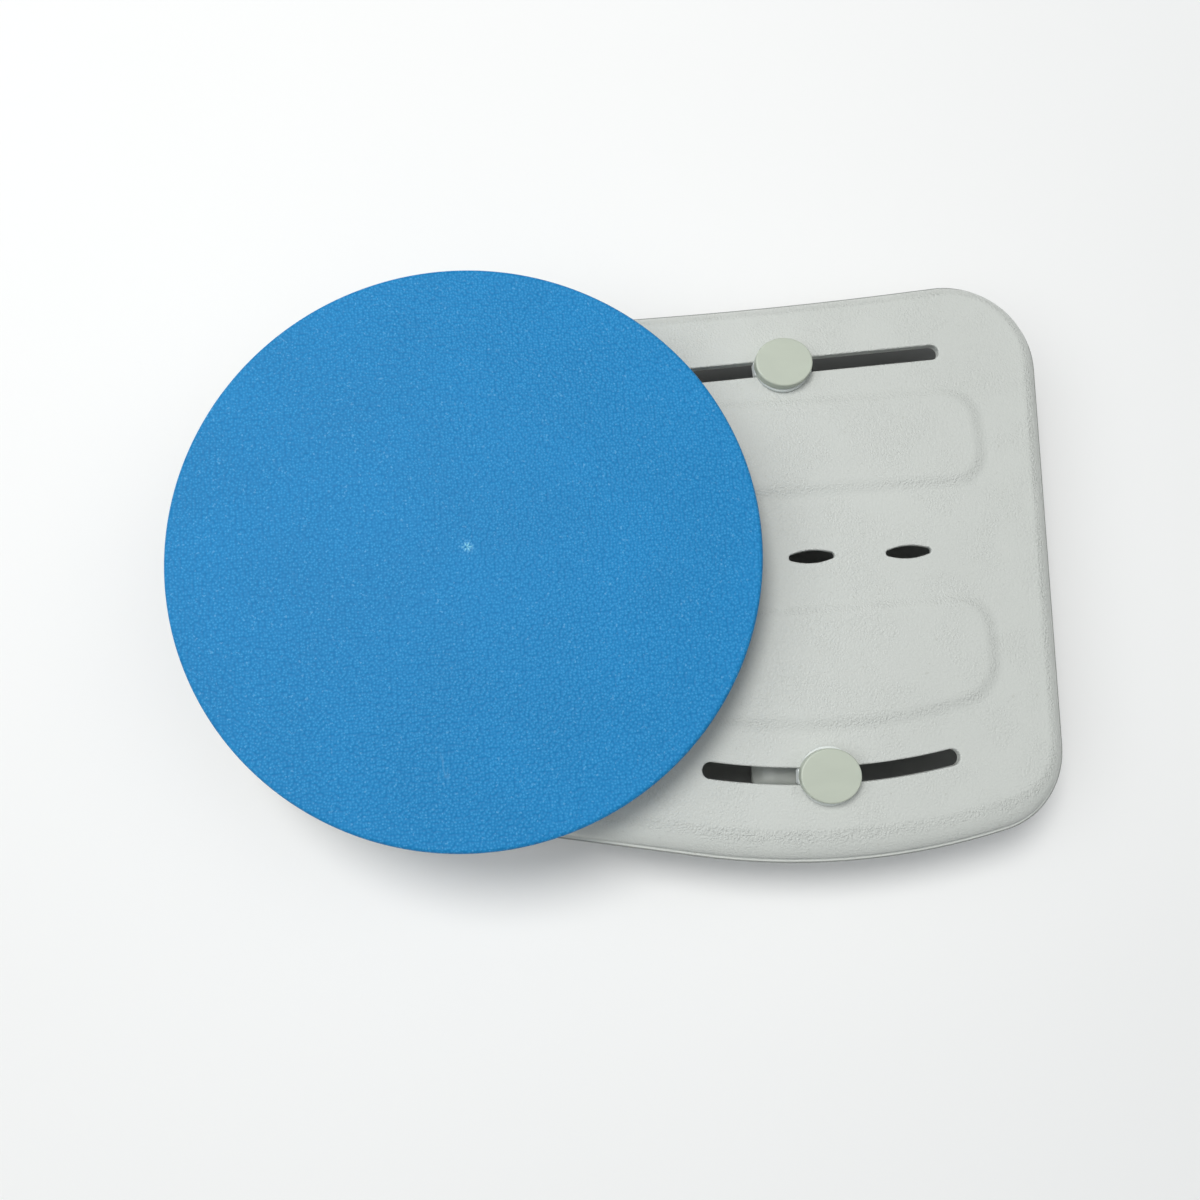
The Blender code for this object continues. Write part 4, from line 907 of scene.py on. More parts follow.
def board_outline():
    """The outline of the board, anticlockwise from the front left."""
    slope = math.tan(FRONT_SWEEP)
    middle_x, centre_y = FRONT_CENTRE
    peak_y = centre_y - FRONT_EDGE_RADIUS / math.cos(FRONT_SWEEP)
    return rounded([
        (BOARD_LEFT, peak_y + (middle_x - BOARD_LEFT) * slope, BOARD_FRONT_LEFT_RADIUS),
        (middle_x, peak_y, FRONT_EDGE_RADIUS),
        (BOARD_FRONT_RIGHT_X, peak_y + (BOARD_FRONT_RIGHT_X - middle_x) * slope, BOARD_FRONT_RIGHT_RADIUS),
        (*BOARD_BACK_RIGHT, BOARD_BACK_RIGHT_RADIUS),
        (*BOARD_BACK_WAIST, BOARD_BACK_WAIST_RADIUS),
        (BOARD_LEFT, BOARD_BACK_LEFT_Y, BOARD_BACK_LEFT_RADIUS),
    ])


def shoulder_width(normal):
    """The width of the rounded shoulder, which is broad along the front edge and narrow along the back."""
    far = SHOULDER_FRONT if normal.y < 0 else SHOULDER_BACK
    return SHOULDER_SIDE + (far - SHOULDER_SIDE) * normal.y**2


def board_section():
    """The board's edge from the flat top down to the rim: (share of the shoulder, inward, depth) for each ring."""
    quarter = math.pi / 2
    section = []
    for step in range(SHOULDER_STEPS + 1):
        angle = quarter * step / SHOULDER_STEPS
        section.append((1 - math.sin(angle), LEDGE_WIDTH, (SHOULDER_DROP - LEDGE_FILLET) * (1 - math.cos(angle))))
    for step in range(1, LEDGE_STEPS + 1):
        angle = quarter * step / LEDGE_STEPS
        section.append((0.0, LEDGE_WIDTH - LEDGE_FILLET * (1 - math.cos(angle)),
                        SHOULDER_DROP - LEDGE_FILLET * (1 - math.sin(angle))))
    for step in range(LEDGE_STEPS + 1):
        angle = quarter * step / LEDGE_STEPS
        section.append((0.0, LEDGE_ROUND * (1 - math.sin(angle)),
                        SHOULDER_DROP + LEDGE_ROUND * (1 - math.cos(angle))))
    return section


def board_rings(outline, inset=0.0, lower=0.0, rim=LEG_DROP):
    """The rings of the board's outer skin, or of one inside it, from the flat top down to the rim."""
    rings = []
    for share, inward, depth in board_section():
        rings.append([(*(point - normal * (inset + inward + share * shoulder_width(normal))),
                       BOARD_TOP - lower - depth) for point, normal in outline])
    for share in (0.0, 0.35, 1.0):
        rings.append([(*point, rim + RIM_ROUND * (1 - share)**2)
                      for point in grown(outline, -inset - RIM_ROUND * share**2)])
    return rings


def slot_point(clamp, travel):
    """The point (and the normal to its right) that lies a travel along the slot from the clamp's place at rest."""
    rest = Vector(clamp["rest"])
    if clamp["centre"] is None:
        ahead = Vector((math.cos(clamp["heading"]), math.sin(clamp["heading"])))
        return rest + ahead * travel, Vector((ahead.y, -ahead.x))
    centre = Vector(clamp["centre"])
    spoke = rest - centre
    swung = Matrix.Rotation(travel / spoke.length, 2) @ spoke
    return centre + swung, swung.normalized()


def band(clamp, low, high, half_width):
    """The outline of a round-ended band along a slot, whose ends reach the two travels."""
    first, last = low + half_width, high - half_width
    side_steps = 1 if clamp["centre"] is None else BAND_STEPS
    middle = [slot_point(clamp, first + (last - first) * i / side_steps) for i in range(side_steps + 1)]
    outline = [point + normal * half_width for point, normal in middle]
    for centre, normal, half_turn in ((*middle[-1], 1), (*middle[0], -1)):
        if half_turn < 0:
            outline += [point - side * half_width for point, side in reversed(middle)]
        for step in range(1, BAND_END_STEPS):
            outline.append(centre + Matrix.Rotation(math.pi * step / BAND_END_STEPS, 2) @ normal
                           * half_turn * half_width)
    return outline


def square_ended_band(clamp, low, high, half_width, corner):
    """The outline of a band along a slot whose square ends have small round corners."""
    first, last = low + corner, high - corner
    middle = [slot_point(clamp, first + (last - first) * i / GUIDE_BEND_STEPS) for i in range(GUIDE_BEND_STEPS + 1)]
    outline = [point + normal * half_width for point, normal in middle]
    for centre, normal, half_turn in ((*middle[-1], 1), (*middle[0], -1)):
        if half_turn < 0:
            outline += [point - side * half_width for point, side in reversed(middle)]
        for side in (1, -1):
            pivot = centre + normal * half_turn * side * (half_width - corner)
            for step in range(GUIDE_CORNER_STEPS + 1):
                angle = math.pi / 2 * (step / GUIDE_CORNER_STEPS + (side < 0))
                if 0.0 < angle < math.pi:
                    outline.append(pivot + Matrix.Rotation(angle, 2) @ normal * half_turn * corner)
    return outline


def flared(outline_at, low, high, radius):
    """A cutter whose opening widens at the board's top, so that it leaves a rounded rim."""
    rings = [[(*point, low) for point in outline_at(0.0)]]
    for step in range(FLARE_STEPS + 1):
        angle = math.pi / 2 * step / FLARE_STEPS
        grow, level = radius * (1 - math.cos(angle)), BOARD_TOP - radius * (1 - math.sin(angle))
        rings.append([(*point, level) for point in outline_at(grow)])
    rings.append([(*point, high) for point in outline_at(radius)])
    return wrapped(rings)


def drain_outline(centre):
    """A lens with blunt tips."""
    tip_x = DRAIN_LENGTH / 2 - DRAIN_TIP_RADIUS + DRAIN_TIP_RADIUS / math.sin(DRAIN_FLARE)
    crown_y = tip_x * math.tan(DRAIN_FLARE)
    crown_radius = (crown_y - DRAIN_WIDTH / 2) / (1 / math.cos(DRAIN_FLARE) - 1)
    x, y = centre
    return rounded([
        (x - tip_x, y, DRAIN_TIP_RADIUS),
        (x, y - crown_y, crown_radius),
        (x + tip_x, y, DRAIN_TIP_RADIUS),
        (x, y + crown_y, crown_radius),
    ])


def pad_outlines():
    """The two raised pads; the front of the near one follows the slot."""
    slope = math.tan(FRONT_SWEEP)
    middle_x, centre_y = FRONT_CENTRE
    peak_y = centre_y - FRONT_PAD_RADIUS / math.cos(FRONT_SWEEP)
    back = rounded([
        (PAD_LEFT, BACK_PAD_FRONT_Y, PAD_CORNER),
        (BACK_PAD_RIGHT, BACK_PAD_FRONT_Y, PAD_CORNER),
        (BACK_PAD_RIGHT, BACK_PAD_BACK_Y, PAD_CORNER),
        (PAD_LEFT, BACK_PAD_BACK_Y, PAD_CORNER),
    ])
    front = rounded([
        (PAD_LEFT, peak_y + (middle_x - PAD_LEFT) * slope, PAD_CORNER),
        (middle_x, peak_y, FRONT_PAD_RADIUS),
        (FRONT_PAD_RIGHT, peak_y + (FRONT_PAD_RIGHT - middle_x) * slope, FRONT_PAD_NEAR_CORNER),
        (FRONT_PAD_RIGHT, FRONT_PAD_BACK_Y, PAD_CORNER),
        (PAD_LEFT, FRONT_PAD_BACK_Y, PAD_CORNER),
    ])
    return back, front


def pad_body(outline):
    """A raised pad with a soft S-shaped shoulder, reaching a little into the board's top."""
    half = PAD_SHOULDER / 2
    rings = [[(*point, BOARD_TOP + PAD_RISE) for point in grown(outline, -half)]]
    for step in range(1, PAD_STEPS + 1):
        share = step / PAD_STEPS
        rise = PAD_RISE * (1 - share * share * (3 - 2 * share))
        rings.append([(*point, BOARD_TOP + rise - 0.00001 * share)
                      for point in grown(outline, half * (2 * share - 1))])
    rings.append([(*point, BOARD_TOP - BOARD_WALL / 3) for point in grown(outline, half)])
    return wrapped(rings, flat_sides=True)


def on_circle(radius, i, count, turn):
    """The place of the i-th of several things spread on a circle round the swivel axis."""
    angle = turn + 2 * math.pi * i / count
    return radius * math.cos(angle), radius * math.sin(angle)


def spokes(count, turn, inner, outer, wall, bottom, top, edge=0.0):
    """Ribs that run out from the swivel axis."""
    return [turned(block((inner, -wall / 2, bottom), (outer, wall / 2, top), edge), turn + 2 * math.pi * i / count)
            for i in range(count)]


def ring_rib(radius, wall, bottom, top, edge):
    """A rib that runs round the swivel axis."""
    return spun(softened([(radius, top), (radius, bottom), (radius - wall, bottom), (radius - wall, top)], edge),
                TURNTABLE_STEPS)


def tube(outer, inner, bottom, top, place):
    """A round boss with a bore."""
    profile = softened([(outer, top), (outer, bottom), (inner, bottom), (inner, top)], SCREW_BOSS_SOFT)
    return spun(profile, SCREW_STEPS, place=place)


def rod(radius, low, high, place=(0.0, 0.0), steps=SCREW_STEPS):
    """A plain upright cutter."""
    return spun([(0.0, low), (radius, low), (radius, high), (0.0, high)], steps, closed=False, place=place)


def clamp_lane(clamp):
    """The room that a clamp's plate needs under the slot's collar as it slides."""
    half = LEG_WIDTH / 2 + LANE_MARGIN
    inward, outward = LEG_REACH_IN + LANE_MARGIN, LEG_REACH_OUT + GRIP_THICKNESS + LANE_MARGIN
    before, beyond = (inward, outward) if clamp["side"] > 0 else (outward, inward)
    low = clamp["low"] + GUIDE_LENGTH / 2 - before - half
    high = clamp["high"] - GUIDE_LENGTH / 2 + beyond + half
    return prism(band(clamp, low, high, half), LEG_DROP, COLLAR_BOTTOM)


def rib_grid(outline):
    """The grid of ribs under the board's top, trimmed to the board and kept clear of the turntable's place."""
    xs = [point.x for point, _ in outline]
    ys = [point.y for point, _ in outline]
    half = RIB_WALL / 2
    edge = RIB_WALL / 8
    bars = [block((min(xs), y - half, RIB_BOTTOM), (max(xs), y + half, RIB_TOP), edge) for y in LENGTHWISE_RIBS]
    bars += [block((x - half, min(ys), RIB_BOTTOM), (x + half, max(ys), RIB_TOP), edge) for x in CROSSWISE_RIBS]
    grid = carved(bars.pop(0), "UNION", bars)
    grid = carved(grid, "INTERSECT", [wrapped(board_rings(outline, BOARD_WALL / 2, BOARD_WALL / 10), True)])
    cleared = [rod(BASE_RADIUS - RIB_WALL / 2, LEG_DROP, BOARD_TOP, steps=TURNTABLE_STEPS)]
    return carved(grid, "DIFFERENCE", cleared + [clamp_lane(clamp) for clamp in CLAMPS.values()])


def board_mesh():
    """The moulded board: a shell open underneath, with pads, slots, drains, collars and ribs."""
    outline = board_outline()
    pads = pad_outlines()
    rim = sizes().slot_rim
    shell = carved(wrapped(board_rings(outline), True), "UNION", [pad_body(pad) for pad in pads])
    core = wrapped(board_rings(outline, BOARD_WALL, BOARD_WALL, LEG_DROP - BOARD_WALL), True)
    hollow_inset = -PAD_SHOULDER / 2 - BOARD_WALL / 2
    hollows = [prism(grown(pad, hollow_inset), COLLAR_BOTTOM, PAD_HOLLOW_TOP) for pad in pads]
    shell = carved(shell, "DIFFERENCE", [core, *hollows])
    centre_hole = HUB_RADIUS + 2 * GAP
    stiffeners = [rib_grid(outline), ring_rib(BASE_RADIUS, RIB_WALL, RIB_BOTTOM, RIB_TOP, RIB_WALL / 8),
                  rod(centre_hole + CENTRE_COLLAR_WALL, CENTRE_COLLAR_BOTTOM, RIB_TOP, steps=TURNTABLE_STEPS)]
    stiffeners += spokes(BASE_RIB_COUNT, math.pi / BASE_RIB_COUNT, PIVOT_WASHER_RADIUS + RIB_WALL,
                         BASE_RADIUS - RIB_WALL / 2, RIB_WALL, RIB_BOTTOM, RIB_TOP, RIB_WALL / 8)
    stiffeners += [prism(band(clamp, clamp["low"] - COLLAR_WALL, clamp["high"] + COLLAR_WALL,
                              SLOT_WIDTH / 2 + COLLAR_WALL), COLLAR_BOTTOM, RIB_TOP, RIB_WALL / 8)
                   for clamp in CLAMPS.values()]
    shell = carved(shell, "UNION", stiffeners)
    over, under = BOARD_TOP + PAD_RISE + BOARD_WALL, RIB_BOTTOM - BOARD_WALL
    cuts = []
    for clamp in CLAMPS.values():
        cuts.append(flared(lambda grow, clamp=clamp: band(clamp, clamp["low"] - grow, clamp["high"] + grow,
                                                          SLOT_WIDTH / 2 + grow), under, over, rim))
    for centre in DRAIN_CENTRES:
        cuts.append(flared(lambda grow, centre=centre: grown(drain_outline(centre), grow), under, over, rim))
    cuts.append(rod(centre_hole, under, over, steps=TURNTABLE_STEPS))
    cuts += [rod(SCREW_RADIUS + GAP, under, over, on_circle(BASE_SCREW_CIRCLE, i, SCREW_COUNT, 0.0))
             for i in range(SCREW_COUNT)]
    return carved(shell, "DIFFERENCE", cuts)


def seat_mesh():
    """The round seat: a plate with a rounded edge and a rim, stiffened underneath, with bosses for the hub."""
    edge = sizes().seat_edge
    plate_bottom, rim_bottom = SEAT_TOP - DISC_PLATE, SEAT_TOP - DISC_RIM_DEPTH
    inner = DISC_RADIUS - DISC_RIM_WALL
    profile = [(0.0, SEAT_TOP), (DISC_RADIUS - edge * 1.4, SEAT_TOP)]
    for step in range(DISC_EDGE_STEPS + 1):
        angle = math.pi / 2 * step / DISC_EDGE_STEPS
        profile.append((DISC_RADIUS - edge * (1 - math.sin(angle)), SEAT_TOP - edge * (1 - math.cos(angle))))
    profile += softened([(DISC_RADIUS, SEAT_TOP - edge), (DISC_RADIUS, rim_bottom), (inner, rim_bottom),
                         (inner, plate_bottom), (0.0, plate_bottom)], DISC_SOFT, closed=False)[1:]
    plate = spun(profile, DISC_STEPS, closed=False)
    into_plate = plate_bottom + DISC_PLATE / 4
    soft = DISC_RIB_WALL / 4
    ribs = spokes(DISC_RIB_COUNT, 0.0, 0.0, DISC_RADIUS - DISC_RIM_WALL / 2, DISC_RIB_WALL, DISC_RIB_BOTTOM,
                  into_plate, soft)
    rings = [ring_rib(radius, DISC_RIB_WALL, DISC_RIB_BOTTOM, into_plate, soft)
             for radius in (HUB_FLANGE_RADIUS, DISC_RING_RADIUS)]
    bosses = [tube(SCREW_RADIUS + GAP + SCREW_BOSS_WALL, SCREW_RADIUS + GAP, DISC_RIB_BOTTOM, into_plate,
                   on_circle(HUB_SCREW_CIRCLE, i, SCREW_COUNT, math.pi / SCREW_COUNT)) for i in range(SCREW_COUNT)]
    return joined(plate, *ribs, *rings, *bosses)


def drum_mesh():
    """The drum on the board: a wall, a top with the glide ring's track, a centre boss, ribs and screw bosses."""
    plate = BASE_TOP - BASE_WALL
    inner, outer = TRACK_RADIUS - TRACK_WIDTH / 2 - GAP, TRACK_RADIUS + TRACK_WIDTH / 2 + GAP
    bore = HUB_RADIUS + GAP + BUSH_WALL + GAP
    boss = bore + BASE_BOSS_WALL
    skin = spun(softened([
        (BASE_RADIUS, BASE_TOP), (BASE_RADIUS, BASE_BOTTOM),
        (BASE_RADIUS - BASE_WALL, BASE_BOTTOM), (BASE_RADIUS - BASE_WALL, plate - TRACK_DEPTH),
        (inner - BASE_WALL, plate - TRACK_DEPTH), (inner - BASE_WALL, plate),
        (boss, plate), (boss, BASE_BOTTOM), (bore, BASE_BOTTOM),
        (bore, BASE_TOP), (inner, BASE_TOP), (inner, BASE_TOP - TRACK_DEPTH),
        (outer, BASE_TOP - TRACK_DEPTH), (outer, BASE_TOP),
    ], TURNTABLE_SOFT), TURNTABLE_STEPS)
    ribs = spokes(BASE_RIB_COUNT, math.pi / BASE_RIB_COUNT, boss - BASE_WALL / 2, BASE_RADIUS - BASE_WALL / 2,
                  RIB_WALL, BASE_BOTTOM + RIB_WALL, plate + BASE_WALL / 3, RIB_WALL / 8)
    bosses = [tube(SCREW_RADIUS + GAP + SCREW_BOSS_WALL, SCREW_RADIUS + GAP, BASE_BOTTOM, plate + BASE_WALL / 3,
                   on_circle(BASE_SCREW_CIRCLE, i, SCREW_COUNT, 0.0)) for i in range(SCREW_COUNT)]
    return joined(skin, *ribs, *bosses)


def hub_mesh():
    """The turning hub under the seat: a flange with countersunk screws, and a spigot for the threaded insert."""
    bore = INSERT_RADIUS + GAP
    bore_top = CENTRE_COLLAR_BOTTOM + INSERT_LENGTH + 2 * GAP
    hub = spun(softened([
        (0.0, FLANGE_TOP), (HUB_FLANGE_RADIUS, FLANGE_TOP), (HUB_FLANGE_RADIUS, FLANGE_BOTTOM),
        (HUB_RADIUS, FLANGE_BOTTOM), (HUB_RADIUS, CENTRE_COLLAR_BOTTOM), (bore, CENTRE_COLLAR_BOTTOM),
        (bore, bore_top), (0.0, bore_top),
    ], TURNTABLE_SOFT, closed=False), TURNTABLE_STEPS, closed=False)
    below, above = FLANGE_BOTTOM - HUB_FLANGE, FLANGE_TOP + HUB_FLANGE
    cuts = []
    for i in range(SCREW_COUNT):
        place = on_circle(HUB_SCREW_CIRCLE, i, SCREW_COUNT, math.pi / SCREW_COUNT)
        cuts.append(rod(SCREW_HEAD_RADIUS + GAP, below, FLANGE_BOTTOM + SCREW_HEAD_HEIGHT, place))
        cuts.append(rod(SCREW_RADIUS + GAP, below, above, place))
    return carved(hub, "DIFFERENCE", cuts)


def screw_mesh(head_bottom, head_top, tip):
    """A pan-head screw driven in from below, with a cross recess and turned threads."""
    height = head_top - head_bottom
    dome = [(0.0, head_bottom)]
    for step in range(SCREW_DOME_STEPS + 1):
        angle = math.pi / 2 * step / SCREW_DOME_STEPS
        dome.append((SCREW_HEAD_RADIUS * (SCREW_HEAD_FLAT_SHARE + (1 - SCREW_HEAD_FLAT_SHARE) * math.sin(angle)),
                     head_bottom + height * SCREW_DOME_SHARE * (1 - math.cos(angle))))
    dome += [(SCREW_HEAD_RADIUS, head_top), (SCREW_RADIUS, head_top)]
    level, inward = head_top + SCREW_NECK, True
    while level < tip - SCREW_RADIUS:
        dome.append((SCREW_RADIUS * (SCREW_CORE_SHARE if inward else 1.0), level))
        level, inward = level + SCREW_HALF_PITCH, not inward
    dome += [(SCREW_RADIUS * 0.6, tip - SCREW_RADIUS * 0.6), (0.0, tip)]
    body = spun(dome, SCREW_STEPS, closed=False)
    arm, blade = SCREW_HEAD_RADIUS * CROSS_ARM_SHARE, SCREW_HEAD_RADIUS * CROSS_BLADE_SHARE
    start, deep = head_bottom - CROSS_START, head_bottom + height * CROSS_DEPTH_SHARE
    cross = [block((-arm, -blade, start), (arm, blade, deep)), block((-blade, -arm, start), (blade, arm, deep))]
    return carved(body, "DIFFERENCE", [turned(mesh, CROSS_TURN) for mesh in cross])


def hexagon(across_flats):
    """The corners of a hexagon."""
    radius = across_flats / math.sqrt(3)
    return [(radius * math.cos(math.radians(60 * i)), radius * math.sin(math.radians(60 * i))) for i in range(6)]


def hex_head(across_flats, low, high):
    """A bolt's head, whose corners are turned off above and below."""
    corner, flat = across_flats / math.sqrt(3), across_flats / 2
    face, turn_off, clear = flat * HEAD_FACE_SHARE, (corner - flat) * HEAD_TURN_OFF_SHARE, corner * HEAD_CLEAR_SHARE
    cone = spun([(0.0, low), (face, low), (clear, low + turn_off), (clear, high - turn_off),
                 (face, high), (0.0, high)], HEAD_STEPS, closed=False)
    return carved(prism(hexagon(across_flats), low - corner, high + corner), "INTERSECT", [cone])


def shank(radius, low, high, thread_low, thread_high):
    """A bolt's shank, with turned threads between two levels."""
    profile = [(0.0, low), (radius - THREAD_DEPTH * 1.6, low)]
    level, inward = max(low + THREAD_DEPTH, thread_low), False
    while level < min(high - THREAD_DEPTH, thread_high):
        profile.append((radius - (THREAD_DEPTH if inward else 0.0), level))
        level, inward = level + THREAD_PITCH / 2, not inward
    profile += [(radius, level), (radius, high), (0.0, high)]
    return spun(profile, SCREW_STEPS, closed=False)


def ellipse(length, width, steps):
    """The points of an ellipse."""
    return [(length / 2 * math.cos(2 * math.pi * i / steps), width / 2 * math.sin(2 * math.pi * i / steps))
            for i in range(steps)]


def cap_mesh():
    """The oval button head, with a rounded rim and a flat top."""
    top = CAP_BOTTOM + CAP_THICKNESS
    edge = sizes().button_edge
    cap = prism(ellipse(CAP_LENGTH, CAP_WIDTH, CAP_STEPS), CAP_BOTTOM, top, edge, segments=7, edge_below=False)
    pocket = prism(hexagon(CLAMP_HEAD_FLATS + 2 * GAP), CAP_BOTTOM - edge, CAP_BOTTOM + CLAMP_HEAD_HEIGHT + 2 * GAP)
    return carved(cap, "DIFFERENCE", [pocket])


def guide_mesh(clamp):
    """The round flange on the board's top and the block under it that runs in the slot."""
    radius = None if clamp["centre"] is None else (Vector(clamp["rest"]) - Vector(clamp["centre"])).length
    local = {"rest": (0.0, 0.0), "heading": 0.0, "centre": None if radius is None else (0.0, radius)}
    bottom = BOARD_TOP + GAP
    runner = prism(square_ended_band(local, -GUIDE_LENGTH / 2, GUIDE_LENGTH / 2, SLOT_WIDTH / 2 - GAP,
                                     GUIDE_CORNER), COLLAR_BOTTOM, bottom + GUIDE_FLANGE / 2, 0.0004, segments=2)
    flange = prism(ellipse(2 * GUIDE_FLANGE_RADIUS, 2 * GUIDE_FLANGE_RADIUS, GUIDE_STEPS), bottom,
                   bottom + GUIDE_FLANGE, GUIDE_EDGE)
    hole = rod(CLAMP_BOLT_RADIUS + GAP, COLLAR_BOTTOM - GUIDE_FLANGE, BOARD_TOP + 3 * GUIDE_FLANGE)
    return carved(carved(flange, "UNION", [runner]), "DIFFERENCE", [hole])


def upright(mesh):
    """Turns a mesh drawn with Y across and X up, as (up, across, along), so that it stands on the leg's face."""
    mesh.transform(Matrix(((0, 0, 1, 0), (0, 1, 0, 0), (1, 0, 0, 0), (0, 0, 0, 1))))
    mesh.flip_normals()
    return mesh


def grip_levels():
    """The lowest and highest level of the rubber grip on the leg."""
    middle = LEG_PLATE_BOTTOM / 2
    return middle - GRIP_HEIGHT / 2, middle + GRIP_HEIGHT / 2


def stud_places():
    """Where the grip's two studs go through the leg, as (level, Y)."""
    low, high = grip_levels()
    return [((low + high) / 2, side * GRIP_STUD_SPACING / 2) for side in (-1, 1)]


def leg_mesh():
    """The moulded bracket: a plate under the board, a leg that hangs inside the bath, and two webs."""
    half = LEG_WIDTH / 2
    plate = prism(grown(rounded([
        (-LEG_REACH_IN, -half, LEG_CORNER), (LEG_REACH_OUT, -half, LEG_WALL / 2),
        (LEG_REACH_OUT, half, LEG_WALL / 2), (-LEG_REACH_IN, half, LEG_CORNER)]), 0.0),
        LEG_PLATE_BOTTOM, LEG_PLATE_TOP)
    top = LEG_PLATE_TOP - LEG_PLATE / 2
    hanging = upright(prism(grown(rounded([
        (0.0, -half, LEG_CORNER), (top, -half, LEG_WALL / 4), (top, half, LEG_WALL / 4),
        (0.0, half, LEG_CORNER)]), 0.0), LEG_REACH_OUT - LEG_WALL, LEG_REACH_OUT))
    face = LEG_REACH_OUT - LEG_WALL / 2
    low, high = LEG_PLATE_BOTTOM - LEG_WEB_DEPTH, LEG_PLATE_BOTTOM - LEG_WEB / 2
    sweep = [(face, low)]
    for step in range(1, LEG_WEB_STEPS):
        share = step / LEG_WEB_STEPS
        sweep.append((face - LEG_WEB_LENGTH * share**1.6, low + (high - low) * share**0.8))
    web = [*sweep, (face - LEG_WEB_LENGTH, high), (face - LEG_WEB_LENGTH, top), (face, top)]
    webs = []
    for side in (-1, 1):
        outer = side * (half - LEG_WALL / 3)
        inner = outer - side * LEG_WEB
        webs.append(wrapped([[(x, y, level) for x, level in web] for y in (inner, outer)]))
    leg = carved(plate, "UNION", [hanging, *webs])
    cuts = [rod(CLAMP_BOLT_RADIUS + GAP, LEG_PLATE_BOTTOM - LEG_PLATE, LEG_PLATE_TOP + LEG_PLATE)]
    cuts += [upright(rod(GRIP_STUD_RADIUS + GAP, LEG_REACH_OUT - 2 * LEG_WALL, LEG_REACH_OUT + LEG_WALL, place))
             for place in stud_places()]
    return eased_edges(carved(leg, "DIFFERENCE", cuts), sizes().part_edge)


def grip_mesh():
    """The rubber grip on the leg's outer face, grooved outside, with two studs through the leg."""
    low, high = grip_levels()
    half, face = GRIP_WIDTH / 2, LEG_REACH_OUT + GAP
    sheet = rounded([(low, -half, GRIP_CORNER), (high, -half, GRIP_CORNER), (high, half, GRIP_CORNER),
                     (low, half, GRIP_CORNER)])
    grip = upright(prism(grown(sheet, 0.0), face, face + GRIP_THICKNESS))
    inner, middle = LEG_REACH_OUT - LEG_WALL, face + GRIP_THICKNESS / 2
    profile = [(0.0, inner - GAP - 0.0006), (GRIP_STUD_RADIUS * 0.8, inner - GAP - 0.0004),
               (GRIP_STUD_RADIUS, inner), (GRIP_STUD_RADIUS, middle), (0.0, middle)]
    studs = [upright(spun(profile, SCREW_STEPS, closed=False, place=place)) for place in stud_places()]
    grip = carved(grip, "UNION", studs)
    pitch = GRIP_HEIGHT / (GRIP_GROOVES + 1)
    bottom_of_groove = face + GRIP_THICKNESS - GRIP_GROOVE_DEPTH
    grooves = [block((bottom_of_groove, -GRIP_WIDTH, low + pitch * (i + 1) - GRIP_GROOVE_WIDTH / 2),
                     (face + 2 * GRIP_THICKNESS, GRIP_WIDTH, low + pitch * (i + 1) + GRIP_GROOVE_WIDTH / 2))
               for i in range(GRIP_GROOVES)]
    return eased_edges(carved(grip, "DIFFERENCE", grooves), sizes().part_edge * 0.6, segments=2)


def arm_ring(x, half_width, upper, lower):
    """One cross-section of the lever's arm: a rectangle with generous corners."""
    ring = []
    for i in range(LEVER_RING_POINTS):
        angle = 2 * math.pi * i / LEVER_RING_POINTS
        c, s = math.cos(angle), math.sin(angle)
        reach = (abs(c)**4 + abs(s)**4) ** -0.25
        ring.append((x, half_width * c * reach, (upper + lower) / 2 + (upper - lower) / 2 * s * reach))
    return ring


def lever_mesh():
    """The hand lever nut: a round hub with an arm that falls away towards its square tip."""
    hub = spun(softened([(0.0, LEVER_TOP), (LEVER_HUB_RADIUS, LEVER_TOP), (LEVER_HUB_RADIUS, LEVER_BOTTOM),
                         (0.0, LEVER_BOTTOM)], LEVER_SOFT, closed=False), LEVER_HUB_STEPS, closed=False)
    half, fall = LEVER_WIDTH / 2, LEVER_FALL / 3
    top = LEVER_TOP - LEVER_HUB_HEIGHT / 5
    rings = []
    for i in range(LEVER_STEPS + 1):
        x = LEVER_REACH * (1 - (1 - i / LEVER_STEPS)**1.6)
        if x <= LEVER_ELBOW:
            drop = 0.0
        elif x <= LEVER_KNEE:
            drop = fall * ((x - LEVER_ELBOW) / (LEVER_KNEE - LEVER_ELBOW))**1.5
        else:
            drop = fall + (LEVER_FALL - fall) * (x - LEVER_KNEE) / (LEVER_REACH - LEVER_KNEE)
        toe = max(0.0, (x - LEVER_REACH + LEVER_TOE) / LEVER_TOE)
        width = half * (1 - (1 - LEVER_TIP_SHARE) * max(0.0, (x - LEVER_ELBOW) / (LEVER_REACH - LEVER_ELBOW))**2)
        width *= math.sqrt(1 - LEVER_TOE_NARROWING * toe**2)
        upper, lower = top - drop, top - LEVER_THICKNESS - fall - drop * 0.6
        pinch = (upper - lower) * LEVER_TOE_PINCH * toe**2
        rings.append(arm_ring(-x, width, upper - pinch, lower + pinch))
    lever = carved(hub, "UNION", [wrapped(rings)])
    hole = rod(CLAMP_BOLT_RADIUS + GAP, LEVER_BOTTOM - BOLT_SHOW, LEVER_TOP + BOLT_SHOW)
    return eased_edges(carved(lever, "DIFFERENCE", [hole]), sizes().part_edge, segments=2)


def washer_mesh(outer, inner, low, high):
    """A flat washer with softened edges."""
    return spun(softened([(outer, high), (outer, low), (inner, low), (inner, high)], WASHER_SOFT), WASHER_STEPS)


